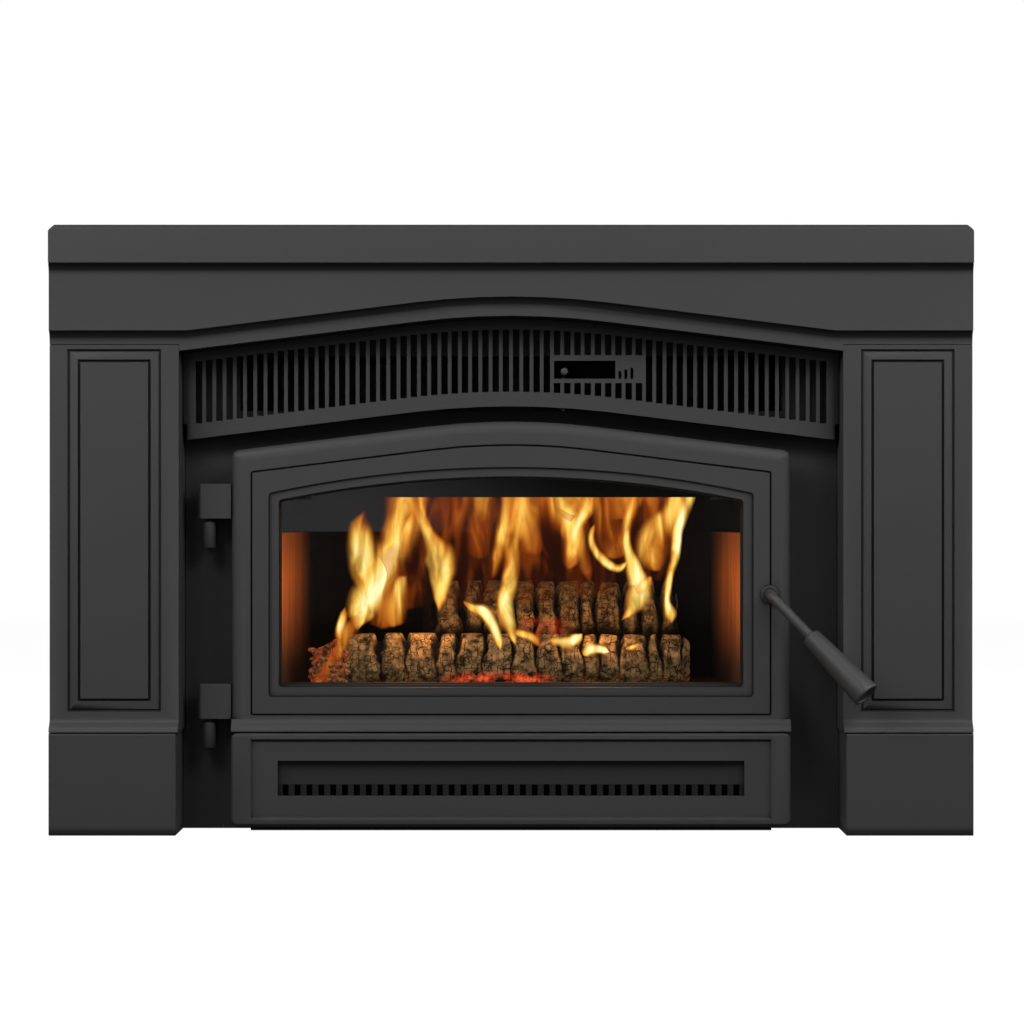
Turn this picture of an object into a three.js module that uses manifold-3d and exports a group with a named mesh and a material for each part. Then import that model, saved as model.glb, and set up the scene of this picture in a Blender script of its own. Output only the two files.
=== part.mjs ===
// A wood-burning fireplace insert with a cast-iron surround, in millimetres, +Z up.
//
// The origin lies on the floor, midway across, in the plane of the surround's back, which
// meets the wall. The viewer stands on the -Y side; the firebox reaches back along +Y.

import * as THREE from 'three';
import { mergeVertices } from 'three/addons/utils/BufferGeometryUtils.js';
import Module from 'manifold-3d';

const wasm = await Module();
wasm.setup();

// ---------------------------------------------------------------- driving dimensions

// Clearances
const SEAT = 0.3; // between two pieces that rest on or touch each other
const RUN = 0.6; // between pieces that are fitted loosely
const PIERCE = 5; // how far a cutter runs past the face it opens

// Surround, overall
const SURROUND_HALF_WIDTH = 559;
const SURROUND_HEIGHT = 738.4;
const SURROUND_DEPTH = 93;
const CASTING_WALL = 8;
const OPENING_HALF_WIDTH = 402.5;

// The shallow gable with a rounded crown that the surround, grille and door all share
const GABLE_SLOPE = 0.123;
const OPENING_DROP = 109.8; // crown of the opening below the top of the shelf
const OPENING_RADIUS = 940;

// Mantel shelf
const SHELF_THICKNESS = 47.1;
const SHELF_CHAMFER = 4;
const SHELF_END_CHAMFER = 7.5;

// Header
const HEADER_SETBACK = 7;
const HEADER_TOP_COVE = 14.7;
const HEADER_EDGE_RISE = 22.8;
const HEADER_LEVEL_HALF = 391.8;
const HEADER_LOWER_COVE = 15;
const STRIP_SETBACK = 14.4;

// Pilasters
const PILASTER_FOOT = 124.5;
const PILASTER_FLARE = 15.9;
const PILASTER_DROP = 144.4; // below the top of the shelf
const FRAME_MARGIN = 21.4;
const FRAME_BAND = 12.5;
const FRAME_GROOVE = 3.6;
const FRAME_GROOVE_DEPTH = 2.6;
const FRAME_BAND_DEPTH = 1.4;
const FRAME_FOOT_GAP = 8.5;
const FRAME_HEAD_GAP = 5.7;

// Plinths
const PLINTH_SETBACK = 5;
const PLINTH_INSET = 2.6;

// Body front plate
const PLATE_THICKNESS = 4;
const PLATE_HALF_WIDTH = 440;
const PLATE_HEAD = 14;
const MOUTH_HALF_WIDTH = 290;
const MOUTH_BOTTOM = 160;
const MOUTH_RISE = 8.2; // above the crown of the glass opening
const MOUTH_FRAME_WIDTH = 18;
const MOUTH_FRAME_DEPTH = 14;
const OUTLET_HALF_WIDTH = 335;
const OUTLET_DROP = 112.6; // foot of the outlet below the crown of the opening
const OUTLET_HEIGHT = 68;
const INTAKE_HALF_WIDTH = 300;
const INTAKE_BOTTOM = 16;
const INTAKE_TOP = 118;

// Convection jacket and base
const JACKET_GAP_FRONT = 30.4; // air space beside the firebox
const JACKET_GAP_BACK = 20.4;
const JACKET_HEAD = 95; // above the firebox
const JACKET_BACK = 470;
const JACKET_SHEET = 2;
const BASE_SHEET = 3;
const BASE_NOSE = 25;
const BASE_NOSE_HALF = 320;

// Firebox
const FIREBOX_PLATE = 5;
const FIREBOX_BOTTOM = 130;
const FIREBOX_RISE = 62; // above the mouth
const FIREBOX_BACK = 432;
const BRICK = 32;
const BRICK_TOP_GAP = 63.7; // between the upright bricks and the middle of the air tubes
const BRICK_FRONT_HALF = 288;
const BRICK_BACK_HALF = 272;
const FLOOR_BRICK_SPLIT = 92;
const EMBER_RAIL_HEIGHT = 44.6;
const EMBER_RAIL_THICKNESS = 6;

// Flue
const FLUE_RADIUS = 76;
const FLUE_WALL = 3;
const FLUE_Y = 255;
const FLUE_RISE = 42;
const FLUE_FLANGE = 18;

// Secondary air and baffle
const TUBE_RADIUS = 12.5;
const TUBE_WALL = 2;
const TUBE_DROP = 77; // below the top of the firebox
const TUBE_FIRST_Y = 84;
const TUBE_PITCH = 112;
const RAIL_HEIGHT = 40;
const RAIL_SHEET = 3;
const BAFFLE_THICKNESS = 18;
const BAFFLE_FRONT = 62;
const DEFLECTOR_LIP_DROP = 33.6; // below the head of the mouth
const DEFLECTOR_SHEET = 3;
const DEFLECTOR_DEPTH = 26;

// Louvre grille
const GRILLE_SETBACK = 60;
const GRILLE_SHEET = 4;
const GRILLE_SIDE_GAP = 0.7;
const GRILLE_SKIRT_HALF = 397;
const GRILLE_SKIRT_DROP = 129.6;
const GRILLE_FOOT_DROP = 107.8; // this and the next ones are below the crown of the opening
const GRILLE_BOTTOM_RADIUS = 1030;
const SLOT_COUNT = 62;
const SLOT_PITCH = 12.55;
const SLOT_WIDTH = 8;
const SLOT_TOP_DROP = 13.6;
const SLOT_BOTTOM_DROP = 89.9;
const SLOT_RADIUS = 1090;
const WINDOW_LEFT = 52.8;
const WINDOW_RIGHT = 128;
const WINDOW_DROP = 73.9;
const WINDOW_HEIGHT = 22;
const WINDOW_BLANK = 153.4;
const WINDOW_FRAME_ABOVE = 6.9;
const WINDOW_FRAME_BELOW = 5.3;
const MARK_COUNT = 3;
const MARK_WIDTH = 3.6;
const MARK_PITCH = 7.3;
const MARK_LEFT = 131.8;
const MARK_FIRST_HEIGHT = 9.2;
const MARK_STEP = 2.1;

// Air control
const KNOB_RADIUS = 4.5;
const KNOB_X = 65.4;
const KNOB_RISE = 9; // above the foot of the window
const KNOB_LENGTH = 9;
const CONTROL_ROD_RADIUS = 3;
const CONTROL_DROP_Y = 40;
const DAMPER_LENGTH = 90;
const DAMPER_DEPTH = 44;
const DAMPER_THICKNESS = 3;

// Door
const DOOR_SETBACK = 45;
const DOOR_HALF_WIDTH = 341.5;
const DOOR_DROP = 126.8; // crown of the door below the crown of the opening
const DOOR_RADIUS = 829;
const DOOR_BOTTOM = 123.4;
const DOOR_THICKNESS = 18;
const DOOR_CORNER = 9;
const DOOR_EDGE_WIDTH = 14;
const DOOR_EDGE_DROP = 7;
const DOOR_FLARE_HEIGHT = 14.8;
const DOOR_FLARE_REACH = 7;
const RIM_GROOVE_INSET = 23.2;
const RIM_GROOVE_WIDTH = 2.4;
const RIM_GROOVE_DEPTH = 2;
const RIM_GROOVE_BOTTOM = 142.5;
const BEZEL_HALF_WIDTH = 296.3;
const BEZEL_DROP = 55.6; // below the crown of the door
const BEZEL_RADIUS = 1396;
const BEZEL_BOTTOM = 165.1;
const BEZEL_DEPTH = 3;
const GLASS_HALF_OPENING = 284.3;
const GLASS_DROP = 67; // below the crown of the door
const GLASS_OPENING_RADIUS = 1413;
const GLASS_OPENING_BOTTOM = 176.7;
const GLASS_LAP = 6;
const GLASS_THICKNESS = 5;
const GLASS_LIP = 10;
const GLASS_TAPE = 1.5;
const RETAINER_THICKNESS = 3;
const RETAINER_WIDTH = 9;
const ROPE_WIDTH = 10;
const ROPE_SEAT_DEPTH = 4;
const ROPE_WALL = 6;
const DOOR_BACK_RISE = 8;

// Hinges
const HINGE_X = -370.5;
const HINGE_SETBACK = 62;
const KNUCKLE_FRONT = 50;
const KNUCKLE_LEFT = -382.8;
const KNUCKLE_HEIGHT = 43;
const KNUCKLE_DROP = 119.2; // foot of the upper knuckle below the crown of the door
const KNUCKLE_LOWER_Z = 137.5;
const KNUCKLE_ARM = 26;
const KNUCKLE_ARM_THICKNESS = 10;
const BARREL_RADIUS = 8;
const BARREL_LENGTH = 32.5;
const BARREL_GAP = 3;
const HINGE_PIN_RADIUS = 4.2;

// Handle and latch
const HANDLE_X = 316;
const HANDLE_Z = 290.4;
const HANDLE_FALL_ANGLE = 47.3;
const HANDLE_TILT = 21;
const HANDLE_BEND_REACH = 14;
const HANDLE_ROD_RADIUS = 6.4;
const SPINDLE_RADIUS = 4.8;
const HANDLE_ROD_LENGTH = 86;
const GRIP_LENGTH = 101;
const GRIP_SMALL_RADIUS = 12;
const GRIP_LARGE_RADIUS = 17.5;
const BUSH_RADIUS = 11.5;
const BUSH_STAND = 2;
const CAM_LENGTH = 24;
const CAM_THICKNESS = 6;
const CAM_HUB_RADIUS = 8;
const STRIKE_LIP = 5;

// Lower panel
const PANEL_SETBACK = 38;
const PANEL_HALF_WIDTH = 341.5;
const PANEL_BOTTOM = 7;
const PANEL_TOP = 122.6;
const PANEL_CORNER = 8;
const PANEL_FIELD_HALF = 318;
const PANEL_FIELD_BOTTOM = 16;
const PANEL_FIELD_TOP = 114;
const PANEL_FIELD_DEPTH = 3;
const PANEL_SLOT_HALF = 284.8;
const PANEL_SLOT_BOTTOM = 44.8;
const PANEL_SLOT_TOP = 87.5;
const PANEL_WALL = 7;
const COMB_TOOTH_TOP = 58;
const COMB_PITCH = 14.5;
const COMB_SLOT = 7.2;
const COMB_HALF_WIDTH = 296;
const COMB_SHEET = 2;
const COMB_LAP = 10;

// Blower
const BLOWER_Y = 92;
const BLOWER_Z = 64;
const WHEEL_RADIUS = 44;
const WHEEL_WIDTH = 66;
const WHEEL_BLADES = 20;
const SCROLL_WIDTH = 78;
const SCROLL_SHEET = 2;
const SCROLL_INNER_RADIUS = 46;
const SCROLL_GROWTH = 10;
const SCROLL_OUTLET = 44;
const SCROLL_INLET_RADIUS = 34;
const MOTOR_RADIUS = 38;
const MOTOR_LENGTH = 92;
const MOTOR_GAP = 14;
const SHAFT_RADIUS = 4;

// Logs
const LOG_FRONT_LEFT = -256;
const LOG_FRONT_RIGHT = 230;
const LOG_FRONT_RADIUS = 35;
const LOG_FRONT_Y = 148;
const LOG_REAR_LEFT = -118;
const LOG_REAR_RIGHT = 222;
const LOG_REAR_RADIUS = 68;
const LOG_REAR_Y = 296;

// Cord gland
const GLAND_RADIUS = 9;
const GLAND_INSET = 80; // from the side of the jacket
const GLAND_Z = 40;

// ---------------------------------------------------------------- finishes

const FINISHES = {
  castIron: { color: 0x3f4041, roughness: 0.6, metalness: 0.3 },
  paintedSteel: { color: 0x303132, roughness: 0.65, metalness: 0.3 },
  sheetSteel: { color: 0x8d9092, roughness: 0.45, metalness: 0.8 },
  brightSteel: { color: 0xa9abad, roughness: 0.3, metalness: 1 },
  stainless: { color: 0x9a958c, roughness: 0.4, metalness: 1 },
  firebrick: { color: 0xc9a87a, roughness: 0.95, metalness: 0 },
  board: { color: 0xd8d2c4, roughness: 0.95, metalness: 0 },
  rope: { color: 0x2b2b2b, roughness: 0.95, metalness: 0 },
  glass: { color: 0xd9c9a8, roughness: 0.05, metalness: 0, transparent: true, opacity: 0.2 },
  blackPlastic: { color: 0x1b1b1b, roughness: 0.6, metalness: 0 },
  log: { color: 0x5a4636, roughness: 0.95, metalness: 0 },
};

// ---------------------------------------------------------------- shape tools

// A closed geometry as a solid that can be joined and cut
function solid(geometry) {
  const bare = geometry.index ? geometry.toNonIndexed() : geometry.clone();
  bare.deleteAttribute('normal');
  bare.deleteAttribute('uv');
  const merged = mergeVertices(bare, 1e-4);
  return new wasm.Manifold(new wasm.Mesh({
    numProp: 3,
    vertProperties: new Float32Array(merged.attributes.position.array),
    triVerts: new Uint32Array(merged.index.array),
  }));
}

// The solid back as a geometry
function surfaceOf(body) {
  const mesh = body.getMesh();
  const geometry = new THREE.BufferGeometry();
  geometry.setAttribute('position', new THREE.BufferAttribute(mesh.vertProperties, 3));
  geometry.setIndex(new THREE.BufferAttribute(mesh.triVerts, 1));
  return geometry;
}

const join = (...bodies) => bodies.reduce((sum, body) => sum.add(body));
const cut = (body, ...cutters) => cutters.reduce((rest, cutter) => rest.subtract(cutter), body);

function block(x0, x1, y0, y1, z0, z1) {
  const geometry = new THREE.BoxGeometry(x1 - x0, y1 - y0, z1 - z0);
  geometry.translate((x0 + x1) / 2, (y0 + y1) / 2, (z0 + z1) / 2);
  return solid(geometry);
}

// Axes of the drawing plane and of the extrusion, for each direction of extrusion
const DRAWING_PLANES = {
  x: [new THREE.Vector3(0, 1, 0), new THREE.Vector3(0, 0, 1), new THREE.Vector3(1, 0, 0)],
  y: [new THREE.Vector3(1, 0, 0), new THREE.Vector3(0, 0, 1), new THREE.Vector3(0, -1, 0)],
  z: [new THREE.Vector3(1, 0, 0), new THREE.Vector3(0, 1, 0), new THREE.Vector3(0, 0, 1)],
};

// A drawn outline extruded along one axis from `from` to `to`
function prism(axis, outline, from, to, curveSegments = 12) {
  const shape = outline instanceof THREE.Shape
    ? outline
    : new THREE.Shape(outline.map(([u, v]) => new THREE.Vector2(u, v)));
  const geometry = new THREE.ExtrudeGeometry(shape, {
    depth: to - from, bevelEnabled: false, curveSegments,
  });
  geometry.applyMatrix4(new THREE.Matrix4().makeBasis(...DRAWING_PLANES[axis]));
  const start = axis === 'y' ? to : from;
  const direction = { x: [1, 0, 0], y: [0, 1, 0], z: [0, 0, 1] }[axis];
  geometry.translate(...direction.map((part) => part * start));
  return solid(geometry);
}

// A round bar or hole along one axis, about the point (u, v) of the drawing plane
function round(axis, radius, u, v, from, to, sides = 20) {
  const outline = new THREE.Shape();
  const points = [];
  for (let i = 0; i < sides; i += 1) {
    const angle = ((i + 0.5) / sides) * 2 * Math.PI;
    points.push([u + radius * Math.cos(angle), v + radius * Math.sin(angle)]);
  }
  outline.setFromPoints(points.map(([a, b]) => new THREE.Vector2(a, b)));
  return prism(axis, outline, from, to);
}

// Faces between rings of equal point counts; `closed` also joins the last ring to the first
function skin(rings, closed) {
  const count = rings[0].length;
  const position = rings.flat(2);
  const index = [];
  const spans = closed ? rings.length : rings.length - 1;
  for (let r = 0; r < spans; r += 1) {
    const near = r * count;
    const far = ((r + 1) % rings.length) * count;
    for (let i = 0; i < count; i += 1) {
      const next = (i + 1) % count;
      index.push(near + i, near + next, far + next, near + i, far + next, far + i);
    }
  }
  return { position, index, count };
}

function solidFromSkin(position, index) {
  const geometry = new THREE.BufferGeometry();
  geometry.setAttribute('position', new THREE.Float32BufferAttribute(position, 3));
  geometry.setIndex(index);
  const body = solid(geometry);
  if (body.volume() > 0) return body;
  const flipped = [];
  for (let i = 0; i < index.length; i += 3) flipped.push(index[i], index[i + 2], index[i + 1]);
  geometry.setIndex(flipped);
  return solid(geometry);
}

// A solid lofted through layers, each an outline [[x, z], ...] at one depth y
function loft(layers) {
  const rings = layers.map(({ outline, y }) => outline.map(([x, z]) => [x, y, z]));
  const { position, index, count } = skin(rings, false);
  const last = (rings.length - 1) * count;
  const flat = (outline) => outline.map(([x, z]) => new THREE.Vector2(x, z));
  for (const [a, b, c] of THREE.ShapeUtils.triangulateShape(flat(layers[0].outline), [])) {
    index.push(c, b, a);
  }
  const end = layers[layers.length - 1].outline;
  for (const [a, b, c] of THREE.ShapeUtils.triangulateShape(flat(end), [])) {
    index.push(last + a, last + b, last + c);
  }
  return solidFromSkin(position, index);
}

// A closed band that follows an outline all round: its section is a loop of [inset, y]
function band(outlineAt, section) {
  const rings = section.map(([inset, y]) => outlineAt(inset).map(([x, z]) => [x, y, z]));
  const { position, index } = skin(rings, true);
  return solidFromSkin(position, index);
}

// Height of a crown arch at x: an arc about the middle that runs out into straight slopes
function archHeight(arch, x) {
  const run = Math.abs(x);
  const angle = Math.atan(arch.slope);
  if (run < arch.radius * Math.sin(angle)) {
    return arch.crown - arch.radius + Math.sqrt(arch.radius ** 2 - run ** 2);
  }
  return arch.crown + arch.radius * (1 / Math.cos(angle) - 1) - arch.slope * run;
}

const ARCH_STEPS = 20;
const PLAIN_ARC_SLOPE = 4; // steeper than any chord reaches, so that the arc never ends

// Points of an arch from the right end to the left end
function archPoints(arch, half, steps = ARCH_STEPS) {
  const points = [];
  for (let i = 0; i <= steps; i += 1) {
    const x = half * (1 - (2 * i) / steps);
    points.push([x, archHeight(arch, x)]);
  }
  return points;
}

// Outline with upright sides, level foot and arched head, inset all round by `inset`
function archedOutline({ half, bottom, arch, corner = 0, foot = 0 }, inset = 0) {
  const side = half - inset;
  const low = bottom + inset;
  const head = { slope: arch.slope, crown: arch.crown - inset, radius: arch.radius - inset };
  const turn = Math.max(corner - inset, 0.4);
  const heel = Math.max(foot - inset, 0.4);
  const right = [];
  const cornerSteps = 4;
  for (let i = 0; i <= cornerSteps; i += 1) {
    const t = (i / cornerSteps) * (Math.PI / 2);
    right.push([side - heel + heel * Math.sin(t), low + heel - heel * Math.cos(t)]);
  }
  const shoulder = archHeight(head, side);
  const inner = archHeight(head, side - turn);
  for (let i = 0; i <= cornerSteps; i += 1) {
    const t = i / cornerSteps;
    right.push([
      side - turn * t * t,
      (1 - t) ** 2 * (shoulder - turn) + 2 * t * (1 - t) * shoulder + t * t * inner,
    ]);
  }
  const top = archPoints(head, side - turn).slice(1, -1);
  const left = right.map(([x, z]) => [-x, z]).reverse();
  return [...right, ...top, ...left];
}

// Outline of a plain rectangle, inset all round
function rectangle(x0, x1, z0, z1, inset = 0) {
  return [
    [x0 + inset, z0 + inset], [x1 - inset, z0 + inset],
    [x1 - inset, z1 - inset], [x0 + inset, z1 - inset],
  ];
}

// Rectangle with rounded corners, inset all round
function roundedRectangle(x0, x1, z0, z1, radius, inset = 0) {
  const r = Math.max(radius - inset, 0.4);
  const centres = [[x1 - inset - r, z0 + inset + r, -90], [x1 - inset - r, z1 - inset - r, 0],
    [x0 + inset + r, z1 - inset - r, 90], [x0 + inset + r, z0 + inset + r, 180]];
  const points = [];
  for (const [x, z, startAngle] of centres) {
    for (let i = 0; i <= 3; i += 1) {
      const angle = THREE.MathUtils.degToRad(startAngle + i * 30);
      points.push([x + r * Math.cos(angle), z + r * Math.sin(angle)]);
    }
  }
  return points;
}

// Plan of a space that narrows towards the back
function taperedPlan(frontHalf, backHalf, y0, y1) {
  return [[-frontHalf, y0], [frontHalf, y0], [backHalf, y1], [-backHalf, y1]];
}

// ---------------------------------------------------------------- shared planes and lines

const SHELF_FACE = -SURROUND_DEPTH;
const HEADER_FACE = SHELF_FACE + HEADER_SETBACK;
const STRIP_FACE = SHELF_FACE + STRIP_SETBACK;
const PLINTH_FACE = SHELF_FACE + PLINTH_SETBACK;
const PANEL_FACE = SHELF_FACE + PANEL_SETBACK;
const DOOR_FACE = SHELF_FACE + DOOR_SETBACK;
const GRILLE_FACE = SHELF_FACE + GRILLE_SETBACK;
const SHELF_BOTTOM = SURROUND_HEIGHT - SHELF_THICKNESS;
const PLATE_FACE = SEAT;
const PLATE_BACK = PLATE_FACE + PLATE_THICKNESS;
const BODY_FRONT = PLATE_BACK + SEAT;
const BRICK_START = BODY_FRONT + EMBER_RAIL_THICKNESS + SEAT;
const BRICK_END = FIREBOX_BACK - FIREBOX_PLATE - BRICK - 2 * RUN;
const HEARTH = FIREBOX_BOTTOM + FIREBOX_PLATE + SEAT;
const HEARTH_TOP = HEARTH + BRICK;

const OPENING_CROWN = SURROUND_HEIGHT - OPENING_DROP;
const PILASTER_TOP = SURROUND_HEIGHT - PILASTER_DROP;
const GRILLE_SKIRT_TOP = OPENING_CROWN - GRILLE_SKIRT_DROP;
const WINDOW_BOTTOM = OPENING_CROWN - WINDOW_DROP;
const WINDOW_TOP = WINDOW_BOTTOM + WINDOW_HEIGHT;
const KNOB_Z = WINDOW_BOTTOM + KNOB_RISE;
const OUTLET_BOTTOM = OPENING_CROWN - OUTLET_DROP;
const OUTLET_TOP = OUTLET_BOTTOM + OUTLET_HEIGHT;
const DOOR_CROWN = OPENING_CROWN - DOOR_DROP;
const KNUCKLE_UPPER_Z = DOOR_CROWN - KNUCKLE_DROP;
const MOUTH_TOP = DOOR_CROWN - GLASS_DROP + MOUTH_RISE;
const DEFLECTOR_LIP = MOUTH_TOP - DEFLECTOR_LIP_DROP;
const FIREBOX_TOP = MOUTH_TOP + FIREBOX_RISE;
const TUBE_Z = FIREBOX_TOP - TUBE_DROP;
const JACKET_TOP = FIREBOX_TOP + JACKET_HEAD;
const BRICK_HEIGHT = TUBE_Z - BRICK_TOP_GAP - HEARTH;

const openingArch = { slope: GABLE_SLOPE, crown: OPENING_CROWN, radius: OPENING_RADIUS };
const headerEdge = {
  slope: GABLE_SLOPE,
  crown: OPENING_CROWN + HEADER_EDGE_RISE,
  radius: OPENING_RADIUS + HEADER_EDGE_RISE,
};
const doorArch = { slope: GABLE_SLOPE, crown: DOOR_CROWN, radius: DOOR_RADIUS };
const glassArch = {
  slope: PLAIN_ARC_SLOPE, crown: DOOR_CROWN - GLASS_DROP, radius: GLASS_OPENING_RADIUS,
};

// Half the clear width between the side bricks at depth y
function brickHalf(y) {
  const share = (y - BODY_FRONT) / (BRICK_END - BODY_FRONT);
  return BRICK_FRONT_HALF + (BRICK_BACK_HALF - BRICK_FRONT_HALF) * share;
}
const fireboxHalf = (y) => brickHalf(y) + BRICK + RUN;
const JACKET_FRONT_HALF = fireboxHalf(BODY_FRONT) + FIREBOX_PLATE + JACKET_GAP_FRONT;
const JACKET_BACK_HALF = fireboxHalf(BRICK_END) + FIREBOX_PLATE + JACKET_GAP_BACK;
const GLAND_X = JACKET_BACK_HALF - GLAND_INSET;

// ---------------------------------------------------------------- surround

function mantelShelf() {
  const back = 0;
  const outline = [
    [SHELF_FACE, SHELF_BOTTOM + SEAT], [back, SHELF_BOTTOM + SEAT], [back, SURROUND_HEIGHT],
    [SHELF_FACE + SHELF_CHAMFER, SURROUND_HEIGHT], [SHELF_FACE, SURROUND_HEIGHT - SHELF_CHAMFER],
  ];
  const bar = prism('x', outline, -SURROUND_HALF_WIDTH, SURROUND_HALF_WIDTH);
  const hollow = block(
    CASTING_WALL - SURROUND_HALF_WIDTH, SURROUND_HALF_WIDTH - CASTING_WALL,
    SHELF_FACE + CASTING_WALL, PIERCE,
    SHELF_BOTTOM - PIERCE, SURROUND_HEIGHT - CASTING_WALL,
  );
  const ends = [-1, 1].map((side) => prism('y', [
    [side * (SURROUND_HALF_WIDTH - SHELF_END_CHAMFER), SURROUND_HEIGHT + SEAT],
    [side * (SURROUND_HALF_WIDTH + SEAT), SURROUND_HEIGHT - SHELF_END_CHAMFER],
    [side * (SURROUND_HALF_WIDTH + SEAT), SURROUND_HEIGHT + SEAT],
  ].sort((a, b) => side * (a[0] - b[0])), SHELF_FACE - PIERCE, PIERCE));
  return cut(bar, hollow, ...ends);
}

// The header's front outline, with its lower edge let down by `drop`
function headerOutline(drop, head) {
  const edge = { slope: headerEdge.slope, crown: headerEdge.crown - drop, radius: headerEdge.radius };
  const level = archHeight(edge, HEADER_LEVEL_HALF);
  return [
    [-SURROUND_HALF_WIDTH, level], [-SURROUND_HALF_WIDTH, head],
    [SURROUND_HALF_WIDTH, head], [SURROUND_HALF_WIDTH, level],
    ...archPoints(edge, HEADER_LEVEL_HALF),
  ].reverse();
}

const COVE_STEPS = 4;

function headerCasting() {
  const faceTop = SHELF_BOTTOM - HEADER_TOP_COVE;
  const layers = [];
  for (let i = 0; i <= COVE_STEPS; i += 1) {
    const t = (i / COVE_STEPS) * (Math.PI / 2);
    layers.push({
      outline: headerOutline(HEADER_LOWER_COVE * (1 - Math.cos(t)), faceTop),
      y: HEADER_FACE + (STRIP_FACE - HEADER_FACE) * Math.sin(t),
    });
  }
  layers.push({ outline: layers[COVE_STEPS].outline, y: 0 });
  const frieze = loft(layers);

  const neck = [[0, faceTop - 1], [HEADER_FACE, faceTop - 1], [HEADER_FACE, faceTop]];
  for (let i = 1; i <= COVE_STEPS; i += 1) {
    const t = (i / COVE_STEPS) * (Math.PI / 2);
    neck.push([
      HEADER_FACE - HEADER_SETBACK * (1 - Math.cos(t)),
      faceTop + HEADER_TOP_COVE * Math.sin(t),
    ]);
  }
  neck.push([0, SHELF_BOTTOM]);
  const crown = prism('x', neck, -SURROUND_HALF_WIDTH, SURROUND_HALF_WIDTH);

  const springing = archHeight(openingArch, OPENING_HALF_WIDTH);
  const strip = prism('y', [
    ...archPoints(openingArch, OPENING_HALF_WIDTH).reverse(),
    [OPENING_HALF_WIDTH, PILASTER_TOP], [SURROUND_HALF_WIDTH, PILASTER_TOP],
    [SURROUND_HALF_WIDTH, faceTop], [-SURROUND_HALF_WIDTH, faceTop],
    [-SURROUND_HALF_WIDTH, PILASTER_TOP], [-OPENING_HALF_WIDTH, PILASTER_TOP],
  ], STRIP_FACE, 0);
  const below = block(
    -SURROUND_HALF_WIDTH - 1, SURROUND_HALF_WIDTH + 1,
    SHELF_FACE, 1, springing - PIERCE, PILASTER_TOP,
  ).subtract(block(-OPENING_HALF_WIDTH, OPENING_HALF_WIDTH, SHELF_FACE - 1, 2, 0, PILASTER_TOP + 1));

  const roof = { ...openingArch, crown: OPENING_CROWN + CASTING_WALL };
  const inner = OPENING_HALF_WIDTH - CASTING_WALL;
  const hollow = prism('y', [
    ...archPoints(roof, inner).reverse(),
    [inner, PILASTER_TOP + CASTING_WALL],
    [SURROUND_HALF_WIDTH - CASTING_WALL, PILASTER_TOP + CASTING_WALL],
    [SURROUND_HALF_WIDTH - CASTING_WALL, SHELF_BOTTOM + PIERCE],
    [CASTING_WALL - SURROUND_HALF_WIDTH, SHELF_BOTTOM + PIERCE],
    [CASTING_WALL - SURROUND_HALF_WIDTH, PILASTER_TOP + CASTING_WALL],
    [-inner, PILASTER_TOP + CASTING_WALL],
  ], STRIP_FACE + CASTING_WALL, PIERCE);
  return cut(join(frieze, crown, strip), below, hollow);
}

function pilaster(side) {
  const x0 = OPENING_HALF_WIDTH;
  const x1 = SURROUND_HALF_WIDTH;
  const foot = PILASTER_FOOT;
  const head = PILASTER_TOP - SEAT;
  const reach = STRIP_FACE - PLINTH_FACE;
  const profile = [[0, foot], [PLINTH_FACE, foot]];
  for (let i = 1; i <= COVE_STEPS + 1; i += 1) {
    const t = (i / (COVE_STEPS + 1)) * Math.PI;
    profile.push([
      PLINTH_FACE + (reach * (1 - Math.cos(t))) / 2,
      foot + 2 + (PILASTER_FLARE - 2) * (i / (COVE_STEPS + 1)),
    ]);
  }
  profile.push([STRIP_FACE, head], [0, head]);
  const shaft = prism('x', profile.reverse(), x0, x1);
  const hollow = block(
    x0 + CASTING_WALL, x1 - CASTING_WALL, STRIP_FACE + CASTING_WALL, PIERCE,
    foot + CASTING_WALL, head - CASTING_WALL,
  );
  const frameBottom = foot + PILASTER_FLARE + FRAME_FOOT_GAP;
  const frameTop = PILASTER_TOP - FRAME_HEAD_GAP;
  const frame = (inset) => rectangle(x0 + FRAME_MARGIN, x1 - FRAME_MARGIN, frameBottom, frameTop, inset);
  const above = STRIP_FACE - PIERCE;
  const sunken = band(frame, [
    [0, above], [0, STRIP_FACE], [FRAME_GROOVE / 2, STRIP_FACE + FRAME_GROOVE_DEPTH],
    [FRAME_GROOVE, STRIP_FACE + FRAME_BAND_DEPTH], [FRAME_BAND, STRIP_FACE + FRAME_BAND_DEPTH / 3],
    [FRAME_BAND + FRAME_GROOVE / 2, STRIP_FACE + FRAME_GROOVE_DEPTH],
    [FRAME_BAND + FRAME_GROOVE, STRIP_FACE], [FRAME_BAND + FRAME_GROOVE, above],
  ]);
  const casting = cut(shaft, hollow, sunken);
  return side > 0 ? casting : casting.mirror([1, 0, 0]);
}

function plinth(side) {
  const x0 = OPENING_HALF_WIDTH + PLINTH_INSET;
  const x1 = SURROUND_HALF_WIDTH;
  const head = PILASTER_FOOT - SEAT;
  const quirk = 2;
  const outline = [
    [0, 0], [0, head], [PLINTH_FACE + quirk, head],
    [PLINTH_FACE, head - quirk], [PLINTH_FACE, 0],
  ];
  const bulk = prism('x', outline, x0, x1);
  const hollow = block(
    x0 + CASTING_WALL, x1 - CASTING_WALL, PLINTH_FACE + CASTING_WALL, PIERCE,
    -PIERCE, head - CASTING_WALL,
  );
  const casting = cut(bulk, hollow);
  return side > 0 ? casting : casting.mirror([1, 0, 0]);
}

// ---------------------------------------------------------------- body and jacket

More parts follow.
